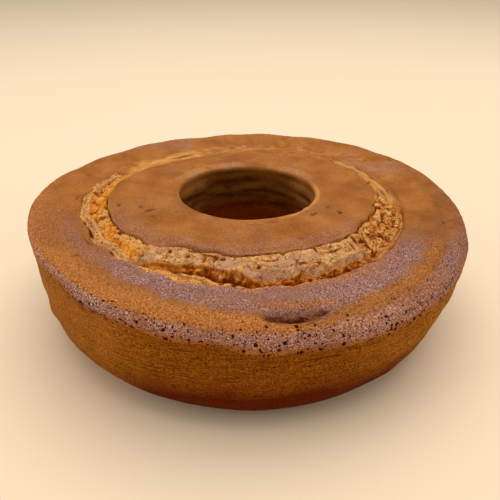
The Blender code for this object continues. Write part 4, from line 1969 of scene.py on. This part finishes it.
@dataclass(frozen=True)
class LooseCrumbs:
    """Loose crumbs or flakes of crust lying in the crack, joined as one piece.

    Each is a ball of 80 faces, stretched by its own sizes, made lumpy by noise and turned at
    random, and sunk to half its height in the crumb it lies on.
    """

    name: str
    bed: OpenCrumb
    count: int
    sizes: tuple[float, float]
    flatness: float
    gold: float
    straw: float
    seed: int
    chances: tuple[float, float, float] = (0.12, 0.03, 1.0)
    reach_across: tuple[float, float] = (0.3, 0.72)
    lumpiness: float = 0.35
    tilt: float = 0.45

    def _places(self, draw: np.random.Generator) -> tuple[np.ndarray, np.ndarray]:
        """Draws bearings and lengths across the band, by the chances left, in front and right.

        Args:
            draw: the piece's random draw.

        Returns:
            Bearings in radians, and lengths from 0 to 1.
        """
        bearing = draw.uniform(0.0, FULL_TURN, self.count * 8)
        stretches = self.bed.form.stretches(bearing)
        chance = sum(share * stretch for share, stretch in zip(self.chances, stretches))
        bearing = bearing[draw.uniform(size=bearing.shape) < chance][: self.count]
        return bearing, draw.uniform(*self.reach_across, len(bearing))

    def build(self, finish: bpy.types.Material) -> bpy.types.Object:
        """Builds the scattered crumbs.

        Args:
            finish: the piece's material.

        Returns:
            The piece.
        """
        draw = np.random.default_rng(self.seed)
        bearing, across = self._places(draw)
        centres = self.bed.surface(across[None, :], bearing)[0][0]
        ball = bmesh.new()
        bmesh.ops.create_icosphere(ball, subdivisions=2, radius=1.0)
        corners = np.array([corner.co[:] for corner in ball.verts])
        faces = np.array([[corner.index for corner in face.verts] for face in ball.faces])
        ball.free()
        number = len(centres)
        size = draw.uniform(*self.sizes, (number, 1))
        width = size * draw.uniform(0.6, 1.0, (number, 1))
        spread = np.concatenate((size, width, size * self.flatness), axis=1)
        bumps = Noise(self.seed).soft(corners[None] + 7.0 * centres[:, None], 0.9)
        shape = corners[None] * (1.0 + self.lumpiness * bumps[..., None]) * spread[:, None]
        turn = draw.uniform(0.0, FULL_TURN, number)
        tilt = draw.normal(0.0, self.tilt, number)
        placed = turned(turned(shape, 0, 2, tilt), 0, 1, turn)
        placed += centres[:, None] - np.array((*BOX_CENTRE, 0.0))
        joined = faces[None] + len(corners) * np.arange(number)[:, None, None]
        each = draw.uniform(0.0, 1.0, number)
        marks = {
            "gold": np.repeat(self.gold * each, len(corners)),
            "straw": np.repeat(self.straw * draw.uniform(0.3, 1.0, number), len(corners)),
        }
        return solid_mesh(self.name, placed.reshape(-1, 3), joined.reshape(-1, 3), marks, finish)


# ---------------------------------------------------------------- the studio


@dataclass(frozen=True)
class Studio:
    """Plain pale floor, soft lights overhead and to both sides, a pale surround, and the camera."""

    floor_half: float = 6.0
    floor_cells: int = 12
    lamp_colour: tuple[float, float, float] = (1.0, 0.985, 0.96)
    lamp_target: tuple[float, float, float] = (0.0, 0.0, 0.03)
    surround_colour: Tint = (1.0, 0.95, 0.88, 1.0)
    surround_strength: float = 0.55
    camera_place: tuple[float, float, float] = (0.0, -0.2819, 0.1901)
    camera_target: tuple[float, float, float] = (0.00007, 0.0, 0.02815)
    camera_roll: float = -0.3729
    focal_pixels: float = 526.556
    sensor: float = 36.0

    def floor(self, finish: bpy.types.Material) -> bpy.types.Object:
        """Lays the floor, a flat sheet at height 0 that reaches far past the view.

        Args:
            finish: the floor's material.

        Returns:
            The floor.
        """
        cells, half = self.floor_cells, self.floor_half
        side = np.linspace(-half, half, cells + 1)
        across, back = np.meshgrid(side, side, indexing="ij")
        corners = np.stack((across, back, np.zeros_like(across)), axis=-1).reshape(-1, 3)
        row, column = (index.ravel() for index in np.meshgrid(np.arange(cells), np.arange(cells)))
        first = row * (cells + 1) + column
        beyond = first + cells + 1
        faces = np.stack((first, beyond, beyond + 1, first + 1), axis=-1)
        return solid_mesh("floor", corners / MM, faces, {}, finish)

    def lights(self) -> None:
        """Hangs the overhead light and a weaker one to each side, and sets the pale surround."""
        for name, place, size, energy in (
            ("overhead", (0.1, 0.25, 1.7), 1.8, 20.0),
            ("left", (-1.3, -0.3, 0.6), 0.9, 2.8),
            ("right", (1.3, -0.3, 0.6), 0.9, 2.1),
        ):
            lamp = bpy.data.lights.new(name, "AREA")
            lamp.shape = "SQUARE"
            lamp.size = size
            lamp.energy = energy
            lamp.color = self.lamp_colour
            light = bpy.data.objects.new(name, lamp)
            light.location = place
            aim = Vector(self.lamp_target) - light.location
            light.rotation_euler = aim.to_track_quat("-Z", "Y").to_euler()
            bpy.context.scene.collection.objects.link(light)
        world = bpy.data.worlds.new("pale surround")
        world.use_nodes = True
        surround = world.node_tree.nodes["Background"]
        surround.inputs["Color"].default_value = self.surround_colour
        surround.inputs["Strength"].default_value = self.surround_strength
        bpy.context.scene.world = world

    def camera(self) -> None:
        """Sets the camera at the fitted place, turned by a hair round its own axis."""
        place, target = Vector(self.camera_place), Vector(self.camera_target)
        ahead = (target - place).normalized()
        right = ahead.cross(Vector((0.0, 0.0, 1.0))).normalized()
        above = right.cross(ahead)
        roll = math.radians(self.camera_roll)
        right_rolled = math.cos(roll) * right + math.sin(roll) * above
        above_rolled = math.cos(roll) * above - math.sin(roll) * right
        facing = Matrix((right_rolled, above_rolled, -ahead)).transposed().to_4x4()
        lens = bpy.data.cameras.new("view")
        lens.sensor_width = self.sensor
        lens.lens = self.focal_pixels * self.sensor / FRAME_PIXELS
        lens.clip_start = 0.01
        camera = bpy.data.objects.new("view", lens)
        camera.matrix_world = Matrix.Translation(place) @ facing
        bpy.context.scene.collection.objects.link(camera)
        bpy.context.scene.camera = camera


def main() -> None:
    """Builds the cake piece by piece, then the studio round it."""
    logging.basicConfig(level=logging.INFO, format="%(name)s: %(message)s")
    studio = Studio()
    studio.camera()
    form = CakeForm()
    crust = BrownedCrust().material()
    crumb = OpenCrumbFinish().material()
    bed = OpenCrumb(form)
    crumbs = LooseCrumbs(
        "loose_crumbs", bed, count=90, sizes=(0.4, 0.9), flatness=0.8, gold=0.8, straw=0.5, seed=31
    )
    flakes = LooseCrumbs(
        "crust_flakes", bed, count=60, sizes=(0.9, 2.0), flatness=0.35, gold=0.3, straw=1.0, seed=32
    )
    body = CakeBody(form).build(crust)
    pieces = [body, *(piece.build(crumb) for piece in (bed, crumbs, flakes))]
    for piece in pieces:
        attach(piece, "root")
        LOG.info("%s: %d faces", piece.name, len(piece.data.polygons))
    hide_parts("cake")
    floor = studio.floor(PaleFloorFinish().material())
    studio.lights()
    bpy.context.scene.view_settings.view_transform = "Standard"


if __name__ == "__main__":
    main()
